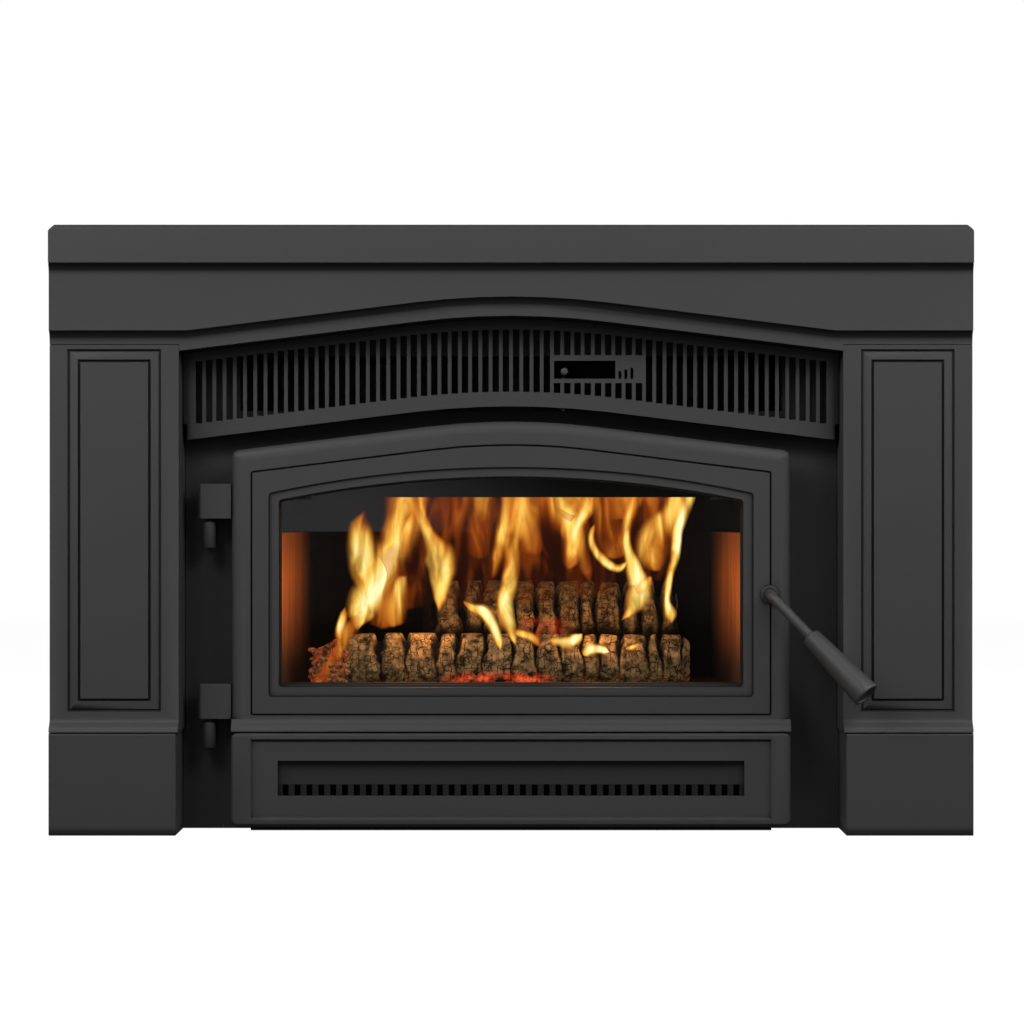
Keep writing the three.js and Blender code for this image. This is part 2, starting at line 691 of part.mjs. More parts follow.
function bodyFrontPlate() {
  const head = { ...openingArch, crown: OPENING_CROWN + PLATE_HEAD };
  const sheet = prism('y', archedOutline({ half: PLATE_HALF_WIDTH, bottom: 0, arch: head }),
    PLATE_FACE, PLATE_BACK);
  const mouth = block(-MOUTH_HALF_WIDTH, MOUTH_HALF_WIDTH, -PIERCE, PLATE_BACK + PIERCE,
    MOUTH_BOTTOM, MOUTH_TOP);
  const outlet = block(-OUTLET_HALF_WIDTH, OUTLET_HALF_WIDTH, -PIERCE, PLATE_BACK + PIERCE,
    OUTLET_BOTTOM, OUTLET_TOP);
  const intake = block(-INTAKE_HALF_WIDTH, INTAKE_HALF_WIDTH, -PIERCE, PLATE_BACK + PIERCE,
    INTAKE_BOTTOM, INTAKE_TOP);
  const baseNotch = block(-JACKET_FRONT_HALF - SEAT, JACKET_FRONT_HALF + SEAT,
    -PIERCE, PLATE_BACK + PIERCE, -PIERCE, BASE_SHEET + SEAT);
  return cut(sheet, mouth, outlet, intake, baseNotch);
}

function mouthFrame() {
  const frame = (inset) => roundedRectangle(
    -MOUTH_HALF_WIDTH - MOUTH_FRAME_WIDTH, MOUTH_HALF_WIDTH + MOUTH_FRAME_WIDTH,
    MOUTH_BOTTOM - MOUTH_FRAME_WIDTH, MOUTH_TOP + MOUTH_FRAME_WIDTH, MOUTH_FRAME_WIDTH + 1, inset,
  );
  return band(frame, [
    [0, -MOUTH_FRAME_DEPTH], [0, 0], [MOUTH_FRAME_WIDTH, 0], [MOUTH_FRAME_WIDTH, -MOUTH_FRAME_DEPTH],
  ]);
}

function basePan() {
  return prism('z', [
    [-BASE_NOSE_HALF, -BASE_NOSE], [BASE_NOSE_HALF, -BASE_NOSE],
    [BASE_NOSE_HALF, PLATE_FACE], [JACKET_FRONT_HALF, PLATE_FACE],
    [JACKET_BACK_HALF, JACKET_BACK], [-JACKET_BACK_HALF, JACKET_BACK],
    [-JACKET_FRONT_HALF, PLATE_FACE], [-BASE_NOSE_HALF, PLATE_FACE],
  ], 0, BASE_SHEET);
}

function convectionJacket() {
  const bottom = BASE_SHEET + SEAT;
  const outer = prism('z',
    taperedPlan(JACKET_FRONT_HALF, JACKET_BACK_HALF, BODY_FRONT, JACKET_BACK), bottom, JACKET_TOP);
  const slope = (JACKET_FRONT_HALF - JACKET_BACK_HALF) / (JACKET_BACK - BODY_FRONT);
  const inner = prism('z', taperedPlan(
    JACKET_FRONT_HALF - JACKET_SHEET + slope * PIERCE, JACKET_BACK_HALF - JACKET_SHEET,
    BODY_FRONT - PIERCE, JACKET_BACK - JACKET_SHEET,
  ), bottom - PIERCE, JACKET_TOP - JACKET_SHEET);
  const flueHole = round('z', FLUE_RADIUS + SEAT, 0, FLUE_Y, JACKET_TOP - PIERCE - JACKET_SHEET,
    JACKET_TOP + PIERCE, 40);
  const glandHole = round('y', GLAND_RADIUS + SEAT, GLAND_X, GLAND_Z, JACKET_BACK - PIERCE,
    JACKET_BACK + PIERCE, 16);
  return cut(outer, inner, flueHole, glandHole);
}

function fireboxShell() {
  const wall = FIREBOX_PLATE;
  const backHalf = fireboxHalf(FIREBOX_BACK);
  const outer = prism('z',
    taperedPlan(fireboxHalf(BODY_FRONT) + wall, backHalf + wall, BODY_FRONT, FIREBOX_BACK),
    FIREBOX_BOTTOM, FIREBOX_TOP);
  const inner = prism('z', taperedPlan(
    fireboxHalf(BODY_FRONT - PIERCE), fireboxHalf(FIREBOX_BACK - wall),
    BODY_FRONT - PIERCE, FIREBOX_BACK - wall,
  ), FIREBOX_BOTTOM + wall, FIREBOX_TOP - wall);
  const flueHole = round('z', FLUE_RADIUS - FLUE_WALL, 0, FLUE_Y, FIREBOX_TOP - wall - PIERCE,
    FIREBOX_TOP + PIERCE, 40);
  return cut(outer, inner, flueHole);
}

// The collar stands on the firebox and passes up through the jacket
function flueCollar() {
  const bottom = FIREBOX_TOP + SEAT;
  const top = JACKET_TOP + FLUE_RISE;
  const bore = FLUE_RADIUS - FLUE_WALL;
  const profile = [
    [bore, bottom], [FLUE_RADIUS + FLUE_FLANGE, bottom], [FLUE_RADIUS + FLUE_FLANGE, bottom + 4],
    [FLUE_RADIUS, bottom + 4], [FLUE_RADIUS, top], [bore, top], [bore, bottom],
  ].map(([r, z]) => new THREE.Vector2(r, z));
  const geometry = new THREE.LatheGeometry(profile, 40);
  geometry.rotateX(Math.PI / 2);
  geometry.translate(0, FLUE_Y, 0);
  return solid(geometry);
}

// ---------------------------------------------------------------- firebox lining

// A side brick between two depths, standing on the firebox floor
function sideBrick(side, y0, y1) {
  const face = (y) => brickHalf(y);
  const plan = [
    [face(y0), y0], [face(y0) + BRICK, y0], [face(y1) + BRICK, y1], [face(y1), y1],
  ];
  const brick = prism('z', plan, HEARTH, HEARTH + BRICK_HEIGHT);
  return side > 0 ? brick : brick.mirror([1, 0, 0]);
}

function backBrick(place) {
  const half = fireboxHalf(FIREBOX_BACK - FIREBOX_PLATE) - RUN;
  const share = (2 * half) / 3;
  const x0 = -half + place * share + (place > 0 ? SEAT / 2 : 0);
  const x1 = -half + (place + 1) * share - (place < 2 ? SEAT / 2 : 0);
  const y1 = FIREBOX_BACK - FIREBOX_PLATE - SEAT;
  return block(x0, x1, y1 - BRICK, y1, HEARTH, HEARTH + BRICK_HEIGHT);
}

function floorBrick(place) {
  const y0 = BRICK_START;
  const y1 = BRICK_END;
  const gap = SEAT / 2;
  const edge = (y) => brickHalf(y) - SEAT;
  const split = FLOOR_BRICK_SPLIT;
  const plans = [
    [[-edge(y0), y0], [-split - gap, y0], [-split - gap, y1], [-edge(y1), y1]],
    [[-split + gap, y0], [split - gap, y0], [split - gap, y1], [-split + gap, y1]],
    [[split + gap, y0], [edge(y0), y0], [edge(y1), y1], [split + gap, y1]],
  ];
  return prism('z', plans[place], HEARTH, HEARTH_TOP);
}

function emberRail() {
  const half = brickHalf(BODY_FRONT) - RUN;
  return block(-half, half, BODY_FRONT, BODY_FRONT + EMBER_RAIL_THICKNESS,
    HEARTH, HEARTH + EMBER_RAIL_HEIGHT);
}

// A channel on the firebox wall that feeds and carries the ends of the air tubes
function airRail(side) {
  const y0 = BRICK_START + 10;
  const y1 = BRICK_END;
  const web = (y) => brickHalf(y) + 1;
  const wall = (y) => fireboxHalf(y) - SEAT;
  const z0 = TUBE_Z - RAIL_HEIGHT / 2;
  const z1 = TUBE_Z + RAIL_HEIGHT / 2;
  const plan = (inset) => [
    [web(y0) + inset, y0], [wall(y0) + (inset ? PIERCE : 0), y0],
    [wall(y1) + (inset ? PIERCE : 0), y1], [web(y1) + inset, y1],
  ];
  const channel = cut(prism('z', plan(0), z0, z1),
    prism('z', plan(RAIL_SHEET), z0 + RAIL_SHEET, z1 - RAIL_SHEET));
  const holes = [0, 1, 2].map((place) => round('x', TUBE_RADIUS + SEAT,
    TUBE_FIRST_Y + place * TUBE_PITCH, TUBE_Z, BRICK_BACK_HALF - BRICK,
    BRICK_FRONT_HALF + BRICK, 16));
  const rail = cut(channel, ...holes);
  return side > 0 ? rail : rail.mirror([1, 0, 0]);
}

function airTube(place) {
  const y = TUBE_FIRST_Y + place * TUBE_PITCH;
  const half = brickHalf(y) + RAIL_SHEET + 3;
  return cut(round('x', TUBE_RADIUS, y, TUBE_Z, -half, half, 16),
    round('x', TUBE_RADIUS - TUBE_WALL, y, TUBE_Z, -half - PIERCE, half + PIERCE, 16));
}

function baffle(side) {
  const y0 = BAFFLE_FRONT;
  const y1 = BRICK_END;
  const z0 = TUBE_Z + TUBE_RADIUS + SEAT;
  const plan = [
    [SEAT, y0], [brickHalf(y0) - RUN, y0], [brickHalf(y1) - RUN, y1], [SEAT, y1],
  ];
  const board = prism('z', plan, z0, z0 + BAFFLE_THICKNESS);
  return side > 0 ? board : board.mirror([1, 0, 0]);
}

// Bent sheet behind the glass head that turns fresh air down over the pane
function airwashDeflector() {
  const half = MOUTH_HALF_WIDTH - RUN;
  const front = -MOUTH_FRAME_DEPTH + 2;
  const sheet = DEFLECTOR_SHEET;
  const head = MOUTH_TOP - SEAT;
  const outline = [
    [front, DEFLECTOR_LIP], [front + sheet, DEFLECTOR_LIP], [front + sheet, head - sheet],
    [front + DEFLECTOR_DEPTH, head - sheet], [front + DEFLECTOR_DEPTH, head], [front, head],
  ];
  return prism('x', outline, -half, half);
}

// ---------------------------------------------------------------- outlet grille

const grilleFoot = {
  slope: GABLE_SLOPE, crown: OPENING_CROWN - GRILLE_FOOT_DROP, radius: GRILLE_BOTTOM_RADIUS,
};

function louvreGrille() {
  const back = GRILLE_FACE + GRILLE_SHEET;
  const half = OPENING_HALF_WIDTH - GRILLE_SIDE_GAP;
  const head = { ...openingArch, crown: OPENING_CROWN - GRILLE_SIDE_GAP };
  const skirt = GRILLE_SKIRT_HALF;
  const plate = prism('y', [
    ...archPoints(grilleFoot, skirt).reverse(),
    [skirt, GRILLE_SKIRT_TOP], [half, GRILLE_SKIRT_TOP],
    ...archPoints(head, half),
    [-half, GRILLE_SKIRT_TOP], [-skirt, GRILLE_SKIRT_TOP],
  ], GRILLE_FACE, back);
  const top = { slope: GABLE_SLOPE, crown: OPENING_CROWN - SLOT_TOP_DROP, radius: SLOT_RADIUS };
  const bottom = { slope: GABLE_SLOPE, crown: OPENING_CROWN - SLOT_BOTTOM_DROP, radius: SLOT_RADIUS };
  const slot = (x, low, high) => block(x - SLOT_WIDTH / 2, x + SLOT_WIDTH / 2,
    GRILLE_FACE - PIERCE, back + PIERCE, low, high);
  const cutters = [];
  for (let i = 0; i < SLOT_COUNT; i += 1) {
    const x = (i - (SLOT_COUNT - 1) / 2) * SLOT_PITCH;
    const low = archHeight(bottom, x);
    const high = archHeight(top, x);
    const blanked = x > WINDOW_LEFT - SLOT_WIDTH / 2 && x < WINDOW_BLANK + SLOT_WIDTH / 2;
    if (blanked) {
      cutters.push(slot(x, low, WINDOW_BOTTOM - WINDOW_FRAME_BELOW));
      cutters.push(slot(x, WINDOW_TOP + WINDOW_FRAME_ABOVE, high));
    } else {
      cutters.push(slot(x, low, high));
    }
  }
  cutters.push(block(WINDOW_LEFT, WINDOW_RIGHT, GRILLE_FACE - PIERCE, back + PIERCE,
    WINDOW_BOTTOM, WINDOW_TOP));
  for (let i = 0; i < MARK_COUNT; i += 1) {
    const x = MARK_LEFT + i * MARK_PITCH;
    cutters.push(block(x, x + MARK_WIDTH, GRILLE_FACE - PIERCE, back + PIERCE,
      WINDOW_BOTTOM, WINDOW_BOTTOM + MARK_FIRST_HEIGHT + i * MARK_STEP));
  }
  return cut(plate, ...cutters);
}

// Sill and cheeks behind the grille, which hold it off the front plate
function grilleCarrier() {
  const front = GRILLE_FACE + GRILLE_SHEET + SEAT;
  const skirt = GRILLE_SKIRT_HALF;
  const raised = { ...grilleFoot, crown: grilleFoot.crown + GRILLE_SHEET };
  const sill = prism('y', [
    ...archPoints(grilleFoot, skirt).reverse(), ...archPoints(raised, skirt),
  ], front, 0);
  const top = archHeight(openingArch, skirt) - 2 * GRILLE_SHEET;
  const cheek = block(skirt - GRILLE_SHEET, skirt, front, 0, archHeight(grilleFoot, skirt), top);
  return join(sill, cheek, cheek.mirror([1, 0, 0]));
}

// ---------------------------------------------------------------- air control

const DAMPER_Z = FIREBOX_TOP + SEAT;

// Knob, rod back through the outlet, and the drop to the damper, in one bent piece
function airControlRod() {
  const knobFront = GRILLE_FACE - 1;
  const r = CONTROL_ROD_RADIUS;
  const knob = round('y', KNOB_RADIUS, KNOB_X, KNOB_Z, knobFront, knobFront + KNOB_LENGTH, 16);
  const rod = round('y', r, KNOB_X, KNOB_Z, knobFront + 1, CONTROL_DROP_Y + r, 12);
  const drop = block(KNOB_X - r, KNOB_X + r, CONTROL_DROP_Y - r, CONTROL_DROP_Y + r,
    DAMPER_Z + DAMPER_THICKNESS + SEAT, KNOB_Z);
  return join(knob, rod, drop);
}

function airDamperPlate() {
  const x0 = KNOB_X - DAMPER_LENGTH / 2;
  const y0 = CONTROL_DROP_Y - DAMPER_DEPTH / 2;
  return block(x0, x0 + DAMPER_LENGTH, y0, y0 + DAMPER_DEPTH, DAMPER_Z, DAMPER_Z + DAMPER_THICKNESS);
}

// ---------------------------------------------------------------- door

const DOOR_BACK = DOOR_FACE + DOOR_THICKNESS;
const ROPE_INSET = MOUTH_FRAME_WIDTH / 2;
const ROPE_RADIUS = ROPE_WIDTH / 2;

const doorLine = (inset) => archedOutline({
  half: DOOR_HALF_WIDTH, bottom: DOOR_BOTTOM, arch: doorArch, corner: DOOR_CORNER, foot: 2,
}, inset);
const glassLine = (inset) => archedOutline({
  half: GLASS_HALF_OPENING, bottom: GLASS_OPENING_BOTTOM, arch: glassArch, corner: 4, foot: 4,
}, inset);
const bezelLine = (inset) => archedOutline({
  half: BEZEL_HALF_WIDTH,
  bottom: BEZEL_BOTTOM,
  arch: { slope: PLAIN_ARC_SLOPE, crown: DOOR_CROWN - BEZEL_DROP, radius: BEZEL_RADIUS },
  corner: 4,
  foot: 4,
}, inset);
const rimLine = (inset) => archedOutline({
  half: DOOR_HALF_WIDTH - RIM_GROOVE_INSET,
  bottom: RIM_GROOVE_BOTTOM,
  arch: {
    slope: GABLE_SLOPE,
    crown: DOOR_CROWN - RIM_GROOVE_INSET - 4.5,
    radius: DOOR_RADIUS - RIM_GROOVE_INSET,
  },
  corner: 3,
  foot: 3,
}, inset);

// The rope runs round the mouth frame; `inset` is measured in from the frame's outer edge
const mouthLine = (inset) => roundedRectangle(
  -MOUTH_HALF_WIDTH - MOUTH_FRAME_WIDTH, MOUTH_HALF_WIDTH + MOUTH_FRAME_WIDTH,
  MOUTH_BOTTOM - MOUTH_FRAME_WIDTH, MOUTH_TOP + MOUTH_FRAME_WIDTH, MOUTH_FRAME_WIDTH + ROPE_WALL, inset,
);

function doorFrame() {
  const edge = [];
  for (let i = 0; i <= COVE_STEPS; i += 1) {
    const t = (i / COVE_STEPS) * (Math.PI / 2);
    edge.push({
      outline: doorLine(DOOR_EDGE_WIDTH * (1 - Math.sin(t))),
      y: DOOR_FACE + DOOR_EDGE_DROP * (1 - Math.cos(t)),
    });
  }
  const slab = loft([...edge, { outline: doorLine(0), y: DOOR_BACK }]);

  // Flared foot: a cove that runs out to the plane of the lower panel
  const flare = [[DOOR_BACK, DOOR_BOTTOM], [DOOR_FACE - DOOR_FLARE_REACH, DOOR_BOTTOM]];
  for (let i = 1; i <= COVE_STEPS + 1; i += 1) {
    const t = (i / (COVE_STEPS + 1)) * Math.PI;
    flare.push([
      DOOR_FACE - DOOR_FLARE_REACH * (1 + Math.cos(t)) / 2,
      DOOR_BOTTOM + 2 + (DOOR_FLARE_HEIGHT - 2) * (i / (COVE_STEPS + 1)),
    ]);
  }
  flare.push([DOOR_BACK, DOOR_BOTTOM + DOOR_FLARE_HEIGHT]);
  const foot = prism('x', flare.reverse(), -DOOR_HALF_WIDTH, DOOR_HALF_WIDTH);

  // Raised wall at the back that carries the rope seal
  const seat = band(mouthLine, [
    [-ROPE_WALL, DOOR_BACK - 1], [-ROPE_WALL, DOOR_BACK + DOOR_BACK_RISE],
    [MOUTH_FRAME_WIDTH + ROPE_WALL, DOOR_BACK + DOOR_BACK_RISE], [MOUTH_FRAME_WIDTH + ROPE_WALL, DOOR_BACK - 1],
  ]);
  const ropeSeat = band(mouthLine, [
    [ROPE_INSET - ROPE_RADIUS - SEAT, DOOR_BACK + DOOR_BACK_RISE - ROPE_SEAT_DEPTH],
    [ROPE_INSET - ROPE_RADIUS - SEAT, DOOR_BACK + DOOR_BACK_RISE + PIERCE],
    [ROPE_INSET + ROPE_RADIUS + SEAT, DOOR_BACK + DOOR_BACK_RISE + PIERCE],
    [ROPE_INSET + ROPE_RADIUS + SEAT, DOOR_BACK + DOOR_BACK_RISE - ROPE_SEAT_DEPTH],
  ]);
  const view = prism('y', glassLine(0), DOOR_FACE - PIERCE, DOOR_BACK + PIERCE);
  const pocket = prism('y', glassLine(-GLASS_LAP - SEAT), DOOR_FACE + GLASS_LIP,
    DOOR_BACK + DOOR_BACK_RISE + PIERCE);
  const above = DOOR_FACE - PIERCE;
  const bezel = prism('y', bezelLine(0), above, DOOR_FACE + BEZEL_DEPTH);
  const rimGroove = band(rimLine, [
    [0, above], [0, DOOR_FACE], [RIM_GROOVE_WIDTH / 2, DOOR_FACE + RIM_GROOVE_DEPTH],
    [RIM_GROOVE_WIDTH, DOOR_FACE], [RIM_GROOVE_WIDTH, above],
  ]);
  const bushHole = round('y', BUSH_RADIUS + SEAT, HANDLE_X, HANDLE_Z, DOOR_FACE - PIERCE,
    DOOR_BACK, 20);
  const spindleHole = round('y', SPINDLE_RADIUS + RUN, HANDLE_X, HANDLE_Z, DOOR_FACE,
    DOOR_BACK + DOOR_BACK_RISE + PIERCE, 14);
  return cut(join(slab, foot, seat), ropeSeat, view, pocket, bezel, rimGroove, bushHole, spindleHole);
}

const GLASS_FRONT = DOOR_FACE + GLASS_LIP + GLASS_TAPE + 2 * SEAT;
const GLASS_BACK = GLASS_FRONT + GLASS_THICKNESS;

function doorGlass() {
  return prism('y', glassLine(-GLASS_LAP), GLASS_FRONT, GLASS_BACK);
}

function glassGasket() {
  const front = DOOR_FACE + GLASS_LIP + SEAT;
  return band(glassLine, [[-GLASS_LAP, front], [-GLASS_LAP, front + GLASS_TAPE],
    [-1, front + GLASS_TAPE], [-1, front]]);
}

function glassRetainer() {
  const front = GLASS_BACK + SEAT;
  return band(glassLine, [[-GLASS_LAP, front], [-GLASS_LAP, front + RETAINER_THICKNESS],
    [RETAINER_WIDTH - GLASS_LAP, front + RETAINER_THICKNESS], [RETAINER_WIDTH - GLASS_LAP, front]]);
}

// Braided rope, a little flattened between its seat and the mouth frame
function doorGasket() {
  const front = DOOR_BACK + DOOR_BACK_RISE - ROPE_SEAT_DEPTH + SEAT;
  const back = -MOUTH_FRAME_DEPTH - SEAT;
  const section = [];
  const sides = 8;
  for (let i = 0; i < sides; i += 1) {
    const angle = ((i + 0.5) / sides) * 2 * Math.PI;
    const grow = 1 / Math.cos(Math.PI / sides);
    section.push([
      ROPE_INSET + ROPE_RADIUS * grow * Math.cos(angle),
      (front + back) / 2 + ((back - front) / 2) * grow * Math.sin(angle),
    ]);
  }
  return band(mouthLine, section);
}

// ---------------------------------------------------------------- hinges

const HINGE_Y = SHELF_FACE + HINGE_SETBACK;

function hingeKnuckle(z) {
  const front = SHELF_FACE + KNUCKLE_FRONT;
  const armFront = DOOR_BACK + SEAT;
  const rear = armFront + KNUCKLE_ARM_THICKNESS;
  const edge = -DOOR_HALF_WIDTH - RUN;
  const bevel = 3;
  const plan = [
    [KNUCKLE_LEFT, front + bevel], [KNUCKLE_LEFT + bevel, front], [edge, front], [edge, armFront],
    [edge + KNUCKLE_ARM, armFront], [edge + KNUCKLE_ARM, rear], [KNUCKLE_LEFT, rear],
  ];
  return cut(prism('z', plan, z, z + KNUCKLE_HEIGHT),
    round('z', HINGE_PIN_RADIUS + SEAT, HINGE_X, HINGE_Y, z - PIERCE, z + KNUCKLE_HEIGHT - 6, 16));
}

// Barrel, the pin that rises from it into the knuckle, and the arm back to the front plate
function hingePin(z) {
  const top = z - BARREL_GAP;
  const bottom = top - BARREL_LENGTH;
  const barrel = round('z', BARREL_RADIUS, HINGE_X, HINGE_Y, bottom, top, 16);
  const pin = round('z', HINGE_PIN_RADIUS, HINGE_X, HINGE_Y, top - 1, z + KNUCKLE_HEIGHT - 8, 16);
  const arm = block(HINGE_X - BARREL_RADIUS, HINGE_X + BARREL_RADIUS - 1, HINGE_Y, 0,
    bottom + 5, top - 3);
  return join(barrel, pin, arm);
}

// ---------------------------------------------------------------- handle and latch

const CAM_FRONT = DOOR_BACK + DOOR_BACK_RISE + 2.5;

// Direction of the lever from the spindle: down to the right, and out towards the viewer
const fall = THREE.MathUtils.degToRad(HANDLE_FALL_ANGLE);
const tilt = THREE.MathUtils.degToRad(HANDLE_TILT);
const lever = new THREE.Vector3(
  Math.cos(fall) * Math.cos(tilt), -Math.sin(tilt), -Math.sin(fall) * Math.cos(tilt),
);
const elbow = new THREE.Vector3(HANDLE_X, DOOR_FACE - HANDLE_BEND_REACH, HANDLE_Z);

// A turned profile [[radius, distance], ...] placed along the lever
function turnedOnLever(profile, sides) {
  const geometry = new THREE.LatheGeometry(profile.map(([r, d]) => new THREE.Vector2(r, d)), sides);
  const turn = new THREE.Quaternion().setFromUnitVectors(new THREE.Vector3(0, 1, 0), lever);
  geometry.applyQuaternion(turn);
  geometry.translate(elbow.x, elbow.y, elbow.z);
  return solid(geometry);
}

function handleRod() {
  const r = HANDLE_ROD_RADIUS;
  const sides = 14;
  const spindle = round('y', SPINDLE_RADIUS, HANDLE_X, HANDLE_Z, elbow.y,
    CAM_FRONT + CAM_THICKNESS + 3, sides);
  const neck = round('y', r, HANDLE_X, HANDLE_Z, elbow.y, DOOR_FACE - BUSH_STAND - SEAT, sides);
  const ball = new THREE.SphereGeometry(r, sides, 8);
  ball.rotateX(Math.PI / 2);
  ball.translate(elbow.x, elbow.y, elbow.z);
  const bar = turnedOnLever([[0, 0], [r, 0], [r, HANDLE_ROD_LENGTH], [0, HANDLE_ROD_LENGTH]], sides);
  return join(spindle, neck, solid(ball), bar);
}

function handleGrip() {
  const start = HANDLE_ROD_LENGTH - 14;
  const end = start + GRIP_LENGTH;
  const bore = HANDLE_ROD_RADIUS + SEAT;
  const rounding = 2.5;
  return turnedOnLever([
    [0, HANDLE_ROD_LENGTH + SEAT], [bore, HANDLE_ROD_LENGTH + SEAT], [bore, start],
    [GRIP_SMALL_RADIUS - rounding, start], [GRIP_SMALL_RADIUS, start + rounding],
    [GRIP_LARGE_RADIUS, end - rounding], [GRIP_LARGE_RADIUS - rounding, end],
    [GRIP_LARGE_RADIUS - rounding - 1.5, end], [GRIP_LARGE_RADIUS - rounding - 2, end - 2],
    [0, end - 2],
  ], 24);
}

function handleBush() {
  const bore = round('y', SPINDLE_RADIUS + SEAT, HANDLE_X, HANDLE_Z,
    DOOR_FACE - BUSH_STAND - PIERCE, DOOR_BACK + PIERCE, 14);
  const bush = round('y', BUSH_RADIUS, HANDLE_X, HANDLE_Z, DOOR_FACE - BUSH_STAND,
    DOOR_BACK - SEAT, 20);
  return cut(bush, bore);
}

// The cam hangs down behind the strike while the handle is shut
function latchCam() {
  const y0 = CAM_FRONT;
  const y1 = CAM_FRONT + CAM_THICKNESS;
  const narrow = CAM_HUB_RADIUS - 2;
  const hub = round('y', CAM_HUB_RADIUS, HANDLE_X, HANDLE_Z, y0, y1, 20);
  const tongue = block(HANDLE_X - narrow, HANDLE_X + narrow, y0, y1, HANDLE_Z - CAM_LENGTH, HANDLE_Z);
  const bore = round('y', SPINDLE_RADIUS + SEAT, HANDLE_X, HANDLE_Z, y0 - PIERCE, y1 + PIERCE, 14);
  return cut(join(hub, tongue), bore);
}

function latchStrike() {
  const half = CAM_HUB_RADIUS - 1;
  const lipBack = CAM_FRONT - SEAT;
  const tip = HANDLE_Z - CAM_LENGTH;
  const outline = [
    [0, tip - 8], [0, tip - 2], [lipBack, tip - 2], [lipBack, tip + 8],
    [lipBack - STRIKE_LIP / 3, tip + 9], [lipBack - STRIKE_LIP / 3, tip - 8],
  ];
  return prism('x', outline.reverse(), HANDLE_X - half, HANDLE_X + half);
}

// ---------------------------------------------------------------- lower panel

function lowerPanel() {
  const line = (inset) => roundedRectangle(
    -PANEL_HALF_WIDTH, PANEL_HALF_WIDTH, PANEL_BOTTOM, PANEL_TOP, PANEL_CORNER, inset,
  );
  const edge = [];
  for (let i = 0; i <= COVE_STEPS; i += 1) {
    const t = (i / COVE_STEPS) * (Math.PI / 2);
    edge.push({
      outline: line((PANEL_CORNER / 2) * (1 - Math.sin(t))),
      y: PANEL_FACE + (PANEL_CORNER / 2) * (1 - Math.cos(t)),
    });
  }
  const tray = loft([...edge, { outline: line(0), y: 0 }]);
  const hollow = prism('y', line(PANEL_WALL), PANEL_FACE + PANEL_WALL + PANEL_FIELD_DEPTH, PIERCE);
  const fieldLine = (inset) => rectangle(-PANEL_FIELD_HALF, PANEL_FIELD_HALF,
    PANEL_FIELD_BOTTOM, PANEL_FIELD_TOP, inset);
  const field = loft([
    { outline: fieldLine(-PIERCE / 2), y: PANEL_FACE - PIERCE / 2 },
    { outline: fieldLine(PANEL_FIELD_DEPTH), y: PANEL_FACE + PANEL_FIELD_DEPTH },
  ]);
  const slot = block(-PANEL_SLOT_HALF, PANEL_SLOT_HALF, PANEL_FACE - PIERCE, PANEL_FACE + 20,
    PANEL_SLOT_BOTTOM, PANEL_SLOT_TOP);
  return cut(tray, hollow, field, slot);
}

// Flat sheet behind the slot: plain above, open teeth below
function intakeComb() {
  const seat = PANEL_FACE + PANEL_WALL + PANEL_FIELD_DEPTH + SEAT;
  const low = PANEL_BOTTOM + PANEL_WALL + RUN;
  const high = PANEL_SLOT_TOP + COMB_LAP;
  const sheet = block(-COMB_HALF_WIDTH, COMB_HALF_WIDTH, seat, seat + COMB_SHEET, low, high);
  const count = Math.floor((2 * COMB_HALF_WIDTH - COMB_PITCH) / COMB_PITCH);
  const slots = [];
  for (let i = 0; i < count; i += 1) {
    const x = (i - (count - 1) / 2) * COMB_PITCH;
    slots.push(block(x - COMB_SLOT / 2, x + COMB_SLOT / 2, seat - PIERCE, seat + PIERCE,
      PANEL_SLOT_BOTTOM - COMB_LAP, COMB_TOOTH_TOP));
  }
  return cut(sheet, ...slots);
}

// ---------------------------------------------------------------- blower

const MOTOR_HALF = MOTOR_LENGTH / 2;
const SCROLL_START = MOTOR_HALF + MOTOR_GAP;
const WHEEL_START = SCROLL_START + (SCROLL_WIDTH - WHEEL_WIDTH) / 2;

// Shape of one half turn and a bit of spiral, widening to a level outlet at the back
function scrollOutline(offset) {
  const points = [];
  const steps = 18;
  const sweep = 1.5 * Math.PI;
  for (let i = 0; i <= steps; i += 1) {
    const share = i / steps;
    const radius = SCROLL_INNER_RADIUS + SCROLL_GROWTH * share + offset;
    const angle = sweep * share;
    points.push([BLOWER_Y + radius * Math.cos(angle), BLOWER_Z + radius * Math.sin(angle)]);
  }
  const reach = BLOWER_Y + SCROLL_INNER_RADIUS + SCROLL_GROWTH + SCROLL_SHEET + 8;
  const floor = BLOWER_Z - SCROLL_INNER_RADIUS - SCROLL_GROWTH - offset;
  const end = offset > 0 ? reach : reach + PIERCE;
  points.push([end, floor]);
  points.push([end, floor + SCROLL_OUTLET + 2 * offset]);
  points.push([BLOWER_Y + SCROLL_INNER_RADIUS + offset, floor + SCROLL_OUTLET + 2 * offset]);
  return points;
}

function blowerScroll(side) {
  const x0 = SCROLL_START;
  const x1 = SCROLL_START + SCROLL_WIDTH;
  const sheet = SCROLL_SHEET;
  const outer = prism('x', scrollOutline(sheet), x0, x1);
  const inner = prism('x', scrollOutline(0), x0 + sheet, x1 - sheet);
  const inlets = round('x', SCROLL_INLET_RADIUS, BLOWER_Y, BLOWER_Z, x0 - PIERCE, x1 + PIERCE, 24);
  const floor = BLOWER_Z - SCROLL_INNER_RADIUS - SCROLL_GROWTH - sheet;
  const foot = block(x0, x1, BLOWER_Y - 20, BLOWER_Y + 20, BASE_SHEET + SEAT, floor + 1);
  const scroll = cut(join(outer, foot), inner, inlets);
  return side > 0 ? scroll : scroll.mirror([1, 0, 0]);
}

